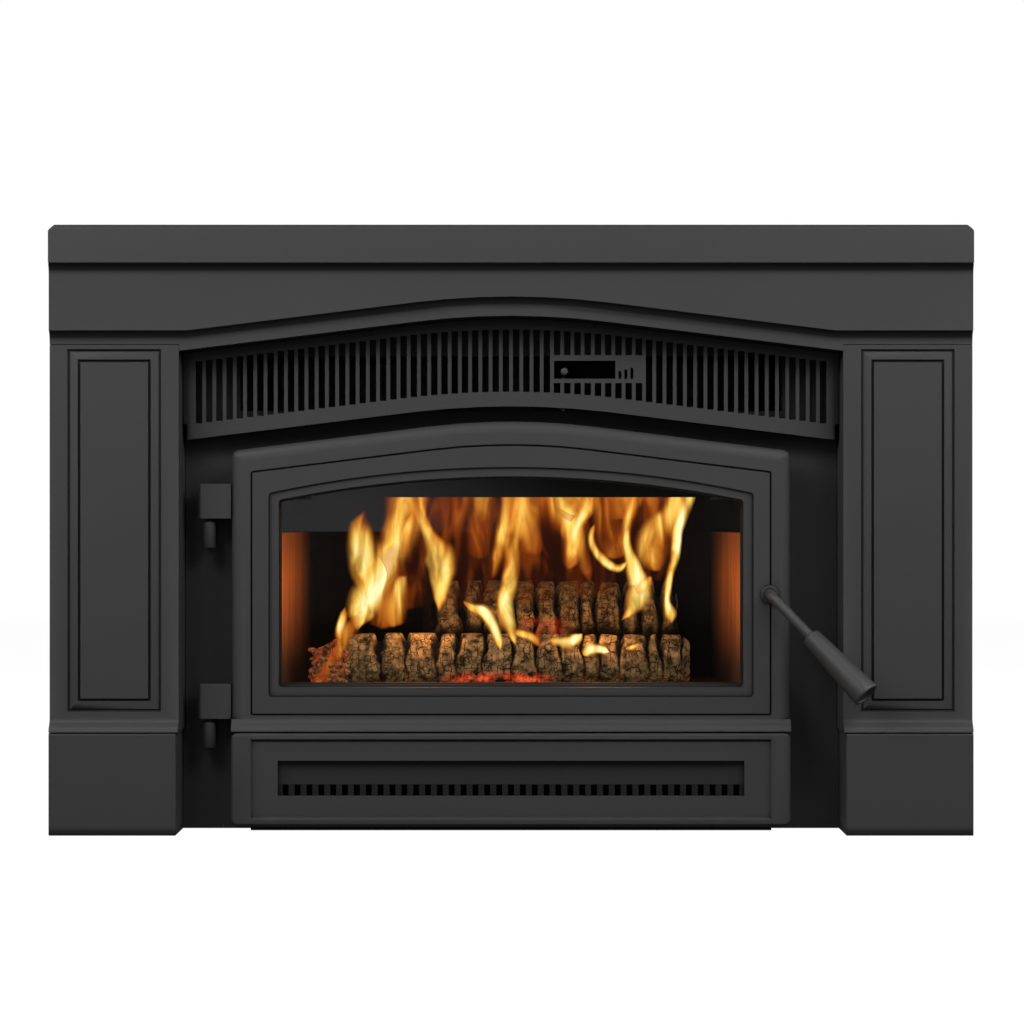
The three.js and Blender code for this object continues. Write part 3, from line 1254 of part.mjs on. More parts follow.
// Drum of curved blades between a hub disc and an end ring
function blowerWheel(side) {
  const x0 = WHEEL_START;
  const x1 = WHEEL_START + WHEEL_WIDTH;
  const disc = round('x', WHEEL_RADIUS, BLOWER_Y, BLOWER_Z, x0 + WHEEL_WIDTH / 2 - 1,
    x0 + WHEEL_WIDTH / 2 + 1, WHEEL_BLADES);
  const hub = round('x', SHAFT_RADIUS + 5, BLOWER_Y, BLOWER_Z, x0 + WHEEL_WIDTH / 2 - 12,
    x0 + WHEEL_WIDTH / 2 + 12, 16);
  const ring = (from) => cut(
    round('x', WHEEL_RADIUS, BLOWER_Y, BLOWER_Z, from, from + 2, WHEEL_BLADES),
    round('x', WHEEL_RADIUS - 9, BLOWER_Y, BLOWER_Z, from - 1, from + 3, WHEEL_BLADES),
  );
  const blades = [];
  for (let i = 0; i < WHEEL_BLADES; i += 1) {
    const angle = (i / WHEEL_BLADES) * 2 * Math.PI;
    const lean = angle + 0.16;
    const along = (radius, at, shift) => [
      BLOWER_Y + radius * Math.cos(at) - shift * Math.sin(at),
      BLOWER_Z + radius * Math.sin(at) + shift * Math.cos(at),
    ];
    blades.push(prism('x', [
      along(WHEEL_RADIUS - 8, angle, -0.5), along(WHEEL_RADIUS - 1, lean, -0.5),
      along(WHEEL_RADIUS - 1, lean, 0.5), along(WHEEL_RADIUS - 8, angle, 0.5),
    ], x0 + 1, x1 - 1));
  }
  const bore = round('x', SHAFT_RADIUS + SEAT, BLOWER_Y, BLOWER_Z, x0 - PIERCE, x1 + PIERCE, 16);
  const wheel = cut(join(disc, hub, ring(x0), ring(x1 - 2), ...blades), bore);
  return side > 0 ? wheel : wheel.mirror([1, 0, 0]);
}

function blowerShaft() {
  const end = WHEEL_START + WHEEL_WIDTH / 2 + 16;
  return round('x', SHAFT_RADIUS, BLOWER_Y, BLOWER_Z, -end, end, 16);
}

function blowerMotor() {
  const step = 8;
  const bore = SHAFT_RADIUS + SEAT;
  const profile = [
    [bore, -MOTOR_HALF], [MOTOR_RADIUS - 18, -MOTOR_HALF], [MOTOR_RADIUS - 6, -MOTOR_HALF + step],
    [MOTOR_RADIUS, -MOTOR_HALF + 2 * step], [MOTOR_RADIUS, MOTOR_HALF - 2 * step],
    [MOTOR_RADIUS - 6, MOTOR_HALF - step], [MOTOR_RADIUS - 18, MOTOR_HALF], [bore, MOTOR_HALF],
    [bore, -MOTOR_HALF],
  ].map(([r, d]) => new THREE.Vector2(r, d));
  const geometry = new THREE.LatheGeometry(profile, 24);
  geometry.rotateZ(-Math.PI / 2);
  geometry.translate(0, BLOWER_Y, BLOWER_Z);
  const cradle = block(-MOTOR_HALF + 2 * step, MOTOR_HALF - 2 * step, BLOWER_Y - 16, BLOWER_Y + 16,
    BASE_SHEET + SEAT, BLOWER_Z - MOTOR_RADIUS + 6);
  return join(solid(geometry), cradle);
}

function cordGland() {
  const flange = round('y', GLAND_RADIUS + 4, GLAND_X, GLAND_Z, JACKET_BACK + SEAT, JACKET_BACK + 4, 16);
  const neck = round('y', GLAND_RADIUS, GLAND_X, GLAND_Z, JACKET_BACK - 12, JACKET_BACK + 1, 16);
  const bore = round('y', GLAND_RADIUS - 5, GLAND_X, GLAND_Z, JACKET_BACK - 14, JACKET_BACK + 6, 12);
  return cut(join(flange, neck), bore);
}

// ---------------------------------------------------------------- logs

// A split log along X: rings of uneven radius, resting on `bed`
function log(left, right, radius, y, bed, phase) {
  const sides = 12;
  const steps = 12;
  const rings = [];
  for (let i = 0; i <= steps; i += 1) {
    const share = i / steps;
    const end = 1 - 0.16 * Math.abs(2 * share - 1) ** 6;
    const ring = [];
    for (let j = 0; j < sides; j += 1) {
      const angle = (j / sides) * 2 * Math.PI;
      const uneven = 1 - 0.05 * (1 + Math.sin(3 * angle + 7 * share + phase));
      const r = radius * end * uneven;
      ring.push([left + (right - left) * share, y + r * Math.cos(angle), bed + radius + r * Math.sin(angle)]);
    }
    rings.push(ring);
  }
  const { position, index, count } = skin(rings, false);
  const last = steps * count;
  for (let j = 1; j < sides - 1; j += 1) {
    index.push(0, j + 1, j);
    index.push(last, last + j, last + j + 1);
  }
  const body = solidFromSkin(position, index);
  return body.translate([0, 0, bed - body.boundingBox().min[2]]);
}

// ---------------------------------------------------------------- assembly

const insert = new THREE.Group();

function add(name, body, finish) {
  const mesh = new THREE.Mesh(surfaceOf(body), new THREE.MeshStandardMaterial(FINISHES[finish]));
  mesh.name = name;
  insert.add(mesh);
}

add('mantel_shelf', mantelShelf(), 'castIron');
add('header_casting', headerCasting(), 'castIron');
for (const [name, side] of [['left', -1], ['right', 1]]) {
  add(`pilaster_${name}`, pilaster(side), 'castIron');
  add(`plinth_${name}`, plinth(side), 'castIron');
}

add('body_front_plate', bodyFrontPlate(), 'paintedSteel');
add('mouth_frame', mouthFrame(), 'paintedSteel');
add('base_pan', basePan(), 'sheetSteel');
add('convection_jacket', convectionJacket(), 'sheetSteel');
add('firebox_shell', fireboxShell(), 'paintedSteel');
add('flue_collar', flueCollar(), 'paintedSteel');

const brickMiddle = (BRICK_START + BRICK_END) / 2;
for (const [name, side] of [['left', -1], ['right', 1]]) {
  add(`brick_${name}_front`, sideBrick(side, BRICK_START, brickMiddle - SEAT / 2), 'firebrick');
  add(`brick_${name}_rear`, sideBrick(side, brickMiddle + SEAT / 2, BRICK_END), 'firebrick');
}
['left', 'centre', 'right'].forEach((name, place) => {
  add(`brick_back_${name}`, backBrick(place), 'firebrick');
  add(`brick_floor_${name}`, floorBrick(place), 'firebrick');
});
add('ember_rail', emberRail(), 'paintedSteel');

for (const [name, side] of [['left', -1], ['right', 1]]) {
  add(`air_rail_${name}`, airRail(side), 'stainless');
  add(`baffle_${name}`, baffle(side), 'board');
}
['front', 'middle', 'rear'].forEach((name, place) => {
  add(`air_tube_${name}`, airTube(place), 'stainless');
});
add('airwash_deflector', airwashDeflector(), 'paintedSteel');

add('louvre_grille', louvreGrille(), 'paintedSteel');
add('grille_carrier', grilleCarrier(), 'paintedSteel');
add('air_control_rod', airControlRod(), 'brightSteel');
add('air_damper_plate', airDamperPlate(), 'brightSteel');

add('door_frame', doorFrame(), 'castIron');
add('door_glass', doorGlass(), 'glass');
add('glass_gasket', glassGasket(), 'rope');
add('glass_retainer', glassRetainer(), 'paintedSteel');
add('door_gasket', doorGasket(), 'rope');
for (const [name, z] of [['upper', KNUCKLE_UPPER_Z], ['lower', KNUCKLE_LOWER_Z]]) {
  add(`hinge_knuckle_${name}`, hingeKnuckle(z), 'castIron');
  add(`hinge_pin_${name}`, hingePin(z), 'paintedSteel');
}
add('handle_rod', handleRod(), 'paintedSteel');
add('handle_grip', handleGrip(), 'paintedSteel');
add('handle_bush', handleBush(), 'paintedSteel');
add('latch_cam', latchCam(), 'brightSteel');
add('latch_strike', latchStrike(), 'brightSteel');

add('lower_panel', lowerPanel(), 'castIron');
add('intake_comb', intakeComb(), 'paintedSteel');

add('blower_motor', blowerMotor(), 'sheetSteel');
add('blower_shaft', blowerShaft(), 'brightSteel');
for (const [name, side] of [['left', -1], ['right', 1]]) {
  add(`blower_wheel_${name}`, blowerWheel(side), 'sheetSteel');
  add(`blower_scroll_${name}`, blowerScroll(side), 'sheetSteel');
}
add('cord_gland', cordGland(), 'blackPlastic');

add('log_front', log(LOG_FRONT_LEFT, LOG_FRONT_RIGHT, LOG_FRONT_RADIUS, LOG_FRONT_Y,
  HEARTH_TOP + SEAT, 0), 'log');
add('log_rear', log(LOG_REAR_LEFT, LOG_REAR_RIGHT, LOG_REAR_RADIUS, LOG_REAR_Y,
  HEARTH_TOP + SEAT, 2), 'log');

export default insert;
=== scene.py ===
"""Dresses a fireplace insert: castings, louvred grille, glass, fire and finishes on the packed frame."""
import math
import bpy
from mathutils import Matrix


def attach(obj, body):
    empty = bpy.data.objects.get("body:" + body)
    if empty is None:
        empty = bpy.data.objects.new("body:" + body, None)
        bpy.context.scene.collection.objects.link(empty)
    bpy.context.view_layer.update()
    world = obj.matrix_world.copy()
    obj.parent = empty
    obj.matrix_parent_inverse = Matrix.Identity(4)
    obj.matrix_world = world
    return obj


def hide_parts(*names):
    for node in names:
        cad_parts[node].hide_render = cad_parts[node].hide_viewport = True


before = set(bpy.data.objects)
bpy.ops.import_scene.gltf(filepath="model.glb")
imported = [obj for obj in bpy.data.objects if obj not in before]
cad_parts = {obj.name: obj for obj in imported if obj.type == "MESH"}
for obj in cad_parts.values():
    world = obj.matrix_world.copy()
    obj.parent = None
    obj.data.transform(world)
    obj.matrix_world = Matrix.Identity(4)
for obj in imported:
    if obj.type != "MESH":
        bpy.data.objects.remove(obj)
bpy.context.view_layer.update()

from types import SimpleNamespace

import bmesh
import bpy
from mathutils import Vector, noise

bl_info = {
    "name": "Fireplace insert",
    "version": (1, 0, 0),
    "blender": (4, 5, 0),
    "location": "3D View > Sidebar > Fireplace",
    "description": "Builds the visible castings, grille, glass and fire of a wood-burning fireplace insert",
    "category": "Object",
}

SHARP = 34.0  # degrees between two faces from which their edge stays sharp
FLAT = 0.4  # degrees below which the triangles of a CAD face count as one face
WELD = 2e-6  # metres within which the loose corners of a mesh are joined
BLACK, WHITE = (0, 0, 0, 1), (1, 1, 1, 1)


# ---------------------------------------------------------------- small tools


def number_of(name, description, value):
    """A count that the user can change."""
    return bpy.props.IntProperty(name=name, description=description, default=value, min=1)


def length(name, description, millimetres):
    """A size that the user can change, stored in metres."""
    return bpy.props.FloatProperty(
        name=name, description=description, default=millimetres / 1000, unit="LENGTH", precision=4
    )


def millimetres(group):
    """The lengths of a property group in millimetres, its counts as they are."""
    values = {}
    for key in group.__annotations__:
        value = getattr(group, key)
        values[key] = value * 1000 if isinstance(value, float) else value
    return SimpleNamespace(**values)


def linear(colour):
    """An sRGB hex colour as the linear values that shaders take."""
    parts = [int(colour[i:i + 2], 16) / 255 for i in (1, 3, 5)]
    return (*[p / 12.92 if p <= 0.04045 else ((p + 0.055) / 1.055) ** 2.4 for p in parts], 1.0)


def add_node(tree, kind, settings=None, links=None):
    """A node with its settings; links give each input a socket to follow or a plain value."""
    made = tree.nodes.new(kind)
    for key, value in (settings or {}).items():
        setattr(made, key, value)
    for key, source in (links or {}).items():
        if isinstance(source, bpy.types.NodeSocket):
            tree.links.new(source, made.inputs[key])
        else:
            made.inputs[key].default_value = source
    return made


def blend_share(value, low, high):
    """Smooth share from 0 at low to 1 at high."""
    t = min(max((value - low) / (high - low), 0.0), 1.0)
    return t * t * (3 - 2 * t)


def make_piece(name, points, faces, finish, sharp=SHARP, attributes=None):
    """A mesh object from points in millimetres, faces outward, smooth up to the sharp angle."""
    mesh = bpy.data.meshes.new(name)
    mesh.from_pydata([(x / 1000, y / 1000, z / 1000) for x, y, z in points], [], faces)
    for key, values in (attributes or {}).items():
        mesh.attributes.new(key, "FLOAT", "POINT").data.foreach_set("value", values)
    shape = bmesh.new()
    shape.from_mesh(mesh)
    bmesh.ops.remove_doubles(shape, verts=shape.verts, dist=WELD)
    bmesh.ops.recalc_face_normals(shape, faces=shape.faces)
    shape.to_mesh(mesh)
    shape.free()
    mesh.shade_smooth()
    mesh.set_sharp_from_angle(angle=math.radians(sharp))
    mesh.materials.append(finish)
    piece = bpy.data.objects.new(name, mesh)
    bpy.context.scene.collection.objects.link(piece)
    return piece


def ring_faces(count, rings, closed):
    """Four-sided faces between rings of equal point counts; closed joins the last to the first."""
    faces = []
    for r in range(rings if closed else rings - 1):
        near, far = r * count, ((r + 1) % rings) * count
        for i in range(count):
            n = (i + 1) % count
            faces.append((near + i, near + n, far + n, far + i))
    return faces


def loft(name, rings, finish, closed=True, caps=False, sharp=SHARP):
    """A piece lofted through rings of points; caps fill the first and the last ring."""
    count = len(rings[0])
    faces = ring_faces(count, len(rings), closed)
    if caps:
        faces.append(tuple(range(count)))
        faces.append(tuple(range((len(rings) - 1) * count, len(rings) * count)))
    return make_piece(name, [p for ring in rings for p in ring], faces, finish, sharp)


def bake_modifiers(piece):
    """Turns a piece with its live modifiers into a plain mesh."""
    graph = bpy.context.evaluated_depsgraph_get()
    mesh = bpy.data.meshes.new_from_object(piece.evaluated_get(graph))
    piece.modifiers.clear()
    piece.data = mesh


def edged_copy(node, finish, edge=0.8, segments=2, sharp=SHARP):
    """A merged copy of a CAD node with its sharp edges eased by a small radius in millimetres."""
    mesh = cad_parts[node].data.copy()
    mesh.materials.clear()
    mesh.materials.append(finish)
    shape = bmesh.new()
    shape.from_mesh(mesh)
    bmesh.ops.remove_doubles(shape, verts=shape.verts, dist=WELD)
    bmesh.ops.dissolve_limit(shape, angle_limit=math.radians(FLAT), verts=shape.verts, edges=shape.edges)
    for face in shape.faces:
        face.smooth = True
        face.material_index = 0
    shape.to_mesh(mesh)
    shape.free()
    if "custom_normal" in mesh.attributes:
        mesh.attributes.remove(mesh.attributes["custom_normal"])
    piece = bpy.data.objects.new(node + "_finished", mesh)
    bpy.context.scene.collection.objects.link(piece)
    if edge:
        bevel = piece.modifiers.new("eased edges", "BEVEL")
        bevel.width, bevel.segments = edge / 1000, segments
        bevel.limit_method, bevel.angle_limit = "ANGLE", math.radians(sharp)
        bevel.harden_normals = True
        bake_modifiers(piece)
    else:
        piece.data.set_sharp_from_angle(angle=math.radians(sharp))
    return piece


def settle(piece, body, stands_for=()):
    """Lets a finished piece ride on its body, and hides the CAD nodes it stands for."""
    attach(piece, body)
    if stands_for:
        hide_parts(*stands_for)
    return piece


# ---------------------------------------------------------------- finishes


def new_finish(name):
    """An empty node material: the material, its tree, its surface shader and object coordinates."""
    finish = bpy.data.materials.new(name)
    finish.use_nodes = True
    tree = finish.node_tree
    tree.nodes.clear()
    surface = add_node(tree, "ShaderNodeBsdfPrincipled")
    add_node(tree, "ShaderNodeOutputMaterial", None, {"Surface": surface.outputs[0]})
    place = add_node(tree, "ShaderNodeTexCoord").outputs["Object"]
    return finish, tree, surface, place


def vary(tree, place, size, low, high, detail=3.0):
    """Two colours mixed in soft patches of a size in millimetres."""
    patch = add_node(tree, "ShaderNodeTexNoise", None,
                     {"Vector": place, "Scale": 1000 / size, "Detail": detail})
    mix = add_node(tree, "ShaderNodeMix", {"data_type": "RGBA"},
                   {0: patch.outputs[0], 6: low, 7: high})
    return mix.outputs[2]


def relief(tree, height, depth, strength, under=None):
    """A bump of a depth in millimetres from a height pattern, on top of another bump."""
    links = {"Height": height, "Distance": depth / 1000, "Strength": strength}
    if under:
        links["Normal"] = under
    return add_node(tree, "ShaderNodeBump", None, links).outputs[0]


def paint_shade_in_hollows(tree, colour, reach, depth):
    """Painted shade: darkens a colour in narrow grooves and under ledges, where shade falls."""
    # painted shade: ambient occlusion darkens the colour in the grooves
    hollow = add_node(tree, "ShaderNodeAmbientOcclusion", {"samples": 8},
                      {"Distance": reach / 1000})
    painted_groove_shade = add_node(tree, "ShaderNodeMapRange", {"interpolation_type": "SMOOTHSTEP"},
                        {0: hollow.outputs["AO"], 1: 0.70, 2: 0.94, 3: 1 - depth, 4: 1.0})
    # painted shade: the undersides of mouldings are darkened, where no lamp reaches
    facing = add_node(tree, "ShaderNodeNewGeometry").outputs["Normal"]
    upright = add_node(tree, "ShaderNodeSeparateXYZ", None, {0: facing}).outputs[2]
    under = add_node(tree, "ShaderNodeMapRange", {"interpolation_type": "SMOOTHSTEP"},
                     {0: upright, 1: -0.34, 2: -0.08, 3: 1 - depth, 4: 1.0})
    share = add_node(tree, "ShaderNodeMath", {"operation": "MULTIPLY"},
                     {0: painted_groove_shade.outputs[0], 1: under.outputs[0]})
    mix = add_node(tree, "ShaderNodeMix", {"data_type": "RGBA", "blend_type": "MULTIPLY"},
                   {0: 1.0, 6: colour, 7: share.outputs[0]})
    return mix.outputs[2]


def cast_iron_paint(look):
    """Satin stove paint, applied by spray, on sand-cast iron: an even fine grain, soft wide highlights,
    painted shade in its hollows.
    """
    finish, tree, surface, place = new_finish("satin_stove_paint_on_cast_iron")
    surface.inputs["Specular IOR Level"].default_value = 0.32
    paint = vary(tree, place, 160, look.casting_dark, look.casting_light)
    # painted shade: the paint turns nearly black in grooves and under ledges
    tree.links.new(paint_shade_in_hollows(tree, paint, 15, 0.995), surface.inputs["Base Color"])
    # the grain of moulding sand is 0.3 mm; drawn at 1.3 mm, so that it shows
    grain = add_node(tree, "ShaderNodeTexNoise", None,
                     {"Vector": place, "Scale": 1000 / 1.3, "Detail": 2.0, "Roughness": 0.6})
    waves = add_node(tree, "ShaderNodeTexNoise", None, {"Vector": place, "Scale": 1000 / 9, "Detail": 2.0})
    under = relief(tree, waves.outputs[0], 0.10, 0.35)
    tree.links.new(relief(tree, grain.outputs[0], 0.12, 0.45, under), surface.inputs["Normal"])
    dull = add_node(tree, "ShaderNodeMapRange", None,
                    {0: grain.outputs[0], 1: 0.3, 2: 0.7, 3: 0.5, 4: 0.62})
    tree.links.new(dull.outputs[0], surface.inputs["Roughness"])
    return finish


def steel_paint(name, dark, light, bands=()):
    """Matt black paint on steel plate; each band is two heights and the shares of colour at them."""
    finish, tree, surface, place = new_finish(name)
    surface.inputs["Specular IOR Level"].default_value = 0.28
    paint = vary(tree, place, 90, dark, light)
    height = add_node(tree, "ShaderNodeSeparateXYZ", None, {0: place}).outputs[2]
    # each band darkens the colour by height, which the callers use to paint shade
    for low, high, below, above in bands:
        share = add_node(tree, "ShaderNodeMapRange", {"interpolation_type": "SMOOTHSTEP"},
                         {0: height, 1: low / 1000, 2: high / 1000, 3: below, 4: above})
        paint = add_node(tree, "ShaderNodeMix", {"data_type": "RGBA", "blend_type": "MULTIPLY"},
                         {0: 1.0, 6: paint, 7: share.outputs[0]}).outputs[2]
    tree.links.new(paint, surface.inputs["Base Color"])
    spray = add_node(tree, "ShaderNodeTexNoise", None,
                     {"Vector": place, "Scale": 1000 / 1.6, "Detail": 2.0})
    tree.links.new(relief(tree, spray.outputs[0], 0.06, 0.4), surface.inputs["Normal"])
    dull = add_node(tree, "ShaderNodeMapRange", None,
                    {0: spray.outputs[0], 1: 0.3, 2: 0.7, 3: 0.6, 4: 0.72})
    tree.links.new(dull.outputs[0], surface.inputs["Roughness"])
    return finish


def ashen_steel(look):
    """Steel plate inside the firebox with painted light: a pale grey glow on the left, black on the right,
    in patches.
    """
    finish, tree, surface, place = new_finish("steel_plate_with_painted_light")
    surface.inputs["Roughness"].default_value = 0.85
    surface.inputs["Specular IOR Level"].default_value = 0.15
    axes = add_node(tree, "ShaderNodeSeparateXYZ", None, {0: place})
    dust_and_painted_light = add_node(tree, "ShaderNodeTexNoise", None, {"Vector": place, "Scale": 1000 / 60, "Detail": 4.0})
    # painted light: the steel goes from a grey glow on the left to black on the right
    side = add_node(tree, "ShaderNodeMapRange", {"interpolation_type": "SMOOTHSTEP"},
                    {0: axes.outputs[0], 1: -0.25, 2: 0.10, 3: 0.0, 4: 0.92})
    share = add_node(tree, "ShaderNodeMath", {"operation": "MULTIPLY_ADD", "use_clamp": True},
                     {0: dust_and_painted_light.outputs[0], 1: 0.2, 2: side.outputs[0]})
    mix = add_node(tree, "ShaderNodeMix", {"data_type": "RGBA"},
                   {0: share.outputs[0], 6: linear("#14171b"), 7: tuple(look.soot)})
    tree.links.new(mix.outputs[2], surface.inputs["Base Color"])
    # painted light: an emission glow paints the left side grey, so that it stays grey next to the orange
    # fire
    pale = add_node(tree, "ShaderNodeMix", {"data_type": "RGBA"},
                    {0: share.outputs[0], 6: tuple(look.ash), 7: BLACK})
    tree.links.new(pale.outputs[2], surface.inputs["Emission Color"])
    surface.inputs["Emission Strength"].default_value = 1.0
    specks = add_node(tree, "ShaderNodeTexNoise", None, {"Vector": place, "Scale": 1000 / 2, "Detail": 3.0})
    tree.links.new(relief(tree, specks.outputs[0], 0.15, 0.4), surface.inputs["Normal"])
    return finish


def handle_paint(look):
    """Satin black lacquer on turned steel: fine turning lines under a smooth coat."""
    finish, tree, surface, place = new_finish("satin_lacquer_on_turned_steel")
    surface.inputs["Specular IOR Level"].default_value = 0.4
    paint = vary(tree, place, 40, look.casting_dark, look.casting_light)
    tree.links.new(paint, surface.inputs["Base Color"])
    coat = add_node(tree, "ShaderNodeTexNoise", None, {"Vector": place, "Scale": 1000 / 2, "Detail": 2.0})
    tree.links.new(relief(tree, coat.outputs[0], 0.04, 0.3), surface.inputs["Normal"])
    dull = add_node(tree, "ShaderNodeMapRange", None,
                    {0: coat.outputs[0], 1: 0.3, 2: 0.7, 3: 0.44, 4: 0.54})
    tree.links.new(dull.outputs[0], surface.inputs["Roughness"])
    return finish


# Inner faces of the jacket in millimetres: half width at the front, height and depth
JACKET_INSIDE = (355.2, 598.8, 468.8)
JACKET_TAPER = 0.056  # how much the half width shrinks for each millimetre of depth


def galvanised_sheet(name, low, high, metallic):
    """Hot-dip galvanised sheet: grey zinc crystals of about 10 mm."""
    finish, tree, surface, place = new_finish(name)
    surface.inputs["Metallic"].default_value = metallic
    spangle = add_node(tree, "ShaderNodeTexVoronoi", None, {"Vector": place, "Scale": 1000 / 11})
    tone = add_node(tree, "ShaderNodeSeparateColor", None, {0: spangle.outputs["Color"]})
    mix = add_node(tree, "ShaderNodeMix", {"data_type": "RGBA"},
                   {0: tone.outputs[0], 6: linear(low), 7: linear(high)})
    tree.links.new(mix.outputs[2], surface.inputs["Base Color"])
    rough = add_node(tree, "ShaderNodeMapRange", None,
                     {0: tone.outputs[1], 1: 0.0, 2: 1.0, 3: 0.48, 4: 0.64})
    tree.links.new(rough.outputs[0], surface.inputs["Roughness"])
    tree.links.new(relief(tree, tone.outputs[2], 0.02, 0.2), surface.inputs["Normal"])
    return finish


def jacket_sheet():
    """Galvanised sheet whose inside is painted black as shade, so that nothing shines through the grille.
    """
    metallic = 0.6
    finish = galvanised_sheet("galvanised_sheet_black_inside", "#7c8184", "#9ba0a3", metallic)
    tree = finish.node_tree
    surface = next(node for node in tree.nodes if node.type == "BSDF_PRINCIPLED")
    zinc = surface.inputs["Base Color"].links[0].from_socket
    place = add_node(tree, "ShaderNodeTexCoord").outputs["Object"]
    axes = add_node(tree, "ShaderNodeSeparateXYZ", None, {0: place})
    half = add_node(tree, "ShaderNodeMath", {"operation": "ABSOLUTE"}, {0: axes.outputs[0]})
    wide = add_node(tree, "ShaderNodeMath", {"operation": "MULTIPLY_ADD"},
                    {0: axes.outputs[1], 1: JACKET_TAPER, 2: half.outputs[0]})
    inner = 1.0
    for value, limit in zip((wide.outputs[0], axes.outputs[2], axes.outputs[1]), JACKET_INSIDE):
        within = add_node(tree, "ShaderNodeMath", {"operation": "LESS_THAN"}, {0: value, 1: limit / 1000})
        inner = add_node(tree, "ShaderNodeMath", {"operation": "MULTIPLY"},
                         {0: inner, 1: within.outputs[0]}).outputs[0]
    # painted shade: inside the jacket the zinc colour gives way to near black
    shaded_inside = add_node(tree, "ShaderNodeMix", {"data_type": "RGBA"},
                       {0: inner, 6: zinc, 7: linear("#0b0b0b")})
    tree.links.new(shaded_inside.outputs[2], surface.inputs["Base Color"])
    bare = add_node(tree, "ShaderNodeMapRange", None, {0: inner, 1: 0.0, 2: 1.0, 3: metallic, 4: 0.0})
    tree.links.new(bare.outputs[0], surface.inputs["Metallic"])
    return finish


def ground_steel():
    """Bare mild steel with fine grinding lines: grey, brushed along one way."""
    finish, tree, surface, place = new_finish("ground_mild_steel")
    surface.inputs["Metallic"].default_value = 1.0
    run = add_node(tree, "ShaderNodeMapping", None, {"Vector": place, "Scale": (30, 1500, 1500)})
    lines = add_node(tree, "ShaderNodeTexNoise", None,
                     {"Vector": run.outputs[0], "Scale": 1.0, "Detail": 2.0})
    mix = add_node(tree, "ShaderNodeMix", {"data_type": "RGBA"},
                   {0: lines.outputs[0], 6: linear("#85868a"), 7: linear("#b3b4b6")})
    tree.links.new(mix.outputs[2], surface.inputs["Base Color"])
    rough = add_node(tree, "ShaderNodeMapRange", None,
                     {0: lines.outputs[0], 1: 0.2, 2: 0.8, 3: 0.3, 4: 0.46})
    tree.links.new(rough.outputs[0], surface.inputs["Roughness"])
    return finish


def tempered_stainless():
    """Stainless steel coloured by heat: straw and blue-grey bands under a film of soot."""
    finish, tree, surface, place = new_finish("heat_tinted_stainless_steel")
    surface.inputs["Metallic"].default_value = 1.0
    band = add_node(tree, "ShaderNodeTexNoise", None, {"Vector": place, "Scale": 1000 / 70, "Detail": 2.0})
    tint = add_node(tree, "ShaderNodeValToRGB", None, {0: band.outputs[0]})
    stops = tint.color_ramp.elements
    stops[0].position, stops[0].color = 0.35, linear("#3f434d")
    stops[1].position, stops[1].color = 0.6, linear("#6f5f49")
    tree.links.new(tint.outputs[0], surface.inputs["Base Color"])
    soot = add_node(tree, "ShaderNodeTexNoise", None, {"Vector": place, "Scale": 1000 / 4, "Detail": 3.0})
    rough = add_node(tree, "ShaderNodeMapRange", None,
                     {0: soot.outputs[0], 1: 0.3, 2: 0.7, 3: 0.4, 4: 0.65})
    tree.links.new(rough.outputs[0], surface.inputs["Roughness"])
    return finish


def firebrick(look):
    """Pressed refractory brick, buff under soot: open pores, with the orange light of the fire painted on
    near the mouth.
    """
    finish, tree, surface, place = new_finish("pressed_firebrick_sooted")
    surface.inputs["Roughness"].default_value = 0.92
    surface.inputs["Specular IOR Level"].default_value = 0.2
    axes = add_node(tree, "ShaderNodeSeparateXYZ", None, {0: place})
    soot = add_node(tree, "ShaderNodeTexNoise", None, {"Vector": place, "Scale": 1000 / 55, "Detail": 4.0})
    back = add_node(tree, "ShaderNodeMapRange", None,
                    {0: axes.outputs[1], 1: 0.02, 2: 0.30, 3: 0.15, 4: 0.95})
    share = add_node(tree, "ShaderNodeMath", {"operation": "MULTIPLY_ADD", "use_clamp": True},
                     {0: soot.outputs[0], 1: 0.5, 2: back.outputs[0]})
    mix = add_node(tree, "ShaderNodeMix", {"data_type": "RGBA"},
                   {0: share.outputs[0], 6: tuple(look.brick), 7: tuple(look.soot)})
    tree.links.new(mix.outputs[2], surface.inputs["Base Color"])
    pores = add_node(tree, "ShaderNodeTexNoise", None, {"Vector": place, "Scale": 1000 / 3, "Detail": 4.0})
    tree.links.new(relief(tree, pores.outputs[0], 0.5, 0.5), surface.inputs["Normal"])
    # painted fire light: an emission glow in upright streaks, strongest near the mouth at mid height
    streak = add_node(tree, "ShaderNodeMapping", None, {"Vector": place, "Scale": (60, 60, 6)})
    flicker = add_node(tree, "ShaderNodeTexNoise", None,
                       {"Vector": streak.outputs[0], "Scale": 1.0, "Detail": 3.0})
    glow = add_node(tree, "ShaderNodeMapRange", None,
                    {0: flicker.outputs[0], 1: 0.3, 2: 0.7, 3: 0.55, 4: 1.15})
    depth, height = axes.outputs[1], axes.outputs[2]
    for value, start, end, first, last in (
            (depth, 0.40, -0.02, 0.0, 1.0),
            (height, 0.180, 0.315, 0.03, 1.0),
            (height, 0.30, 0.37, 1.0, 0.55)):
        share = add_node(tree, "ShaderNodeMapRange", {"interpolation_type": "SMOOTHSTEP"},
                         {0: value, 1: start, 2: end, 3: first, 4: last})
        glow = add_node(tree, "ShaderNodeMath", {"operation": "MULTIPLY"},
                        {0: glow.outputs[0], 1: share.outputs[0]})
    light = add_node(tree, "ShaderNodeMix", {"data_type": "RGBA"},
                     {0: glow.outputs[0], 6: BLACK, 7: tuple(look.brick_glow)})
    tree.links.new(light.outputs[2], surface.inputs["Emission Color"])
    surface.inputs["Emission Strength"].default_value = 1.22
    return finish


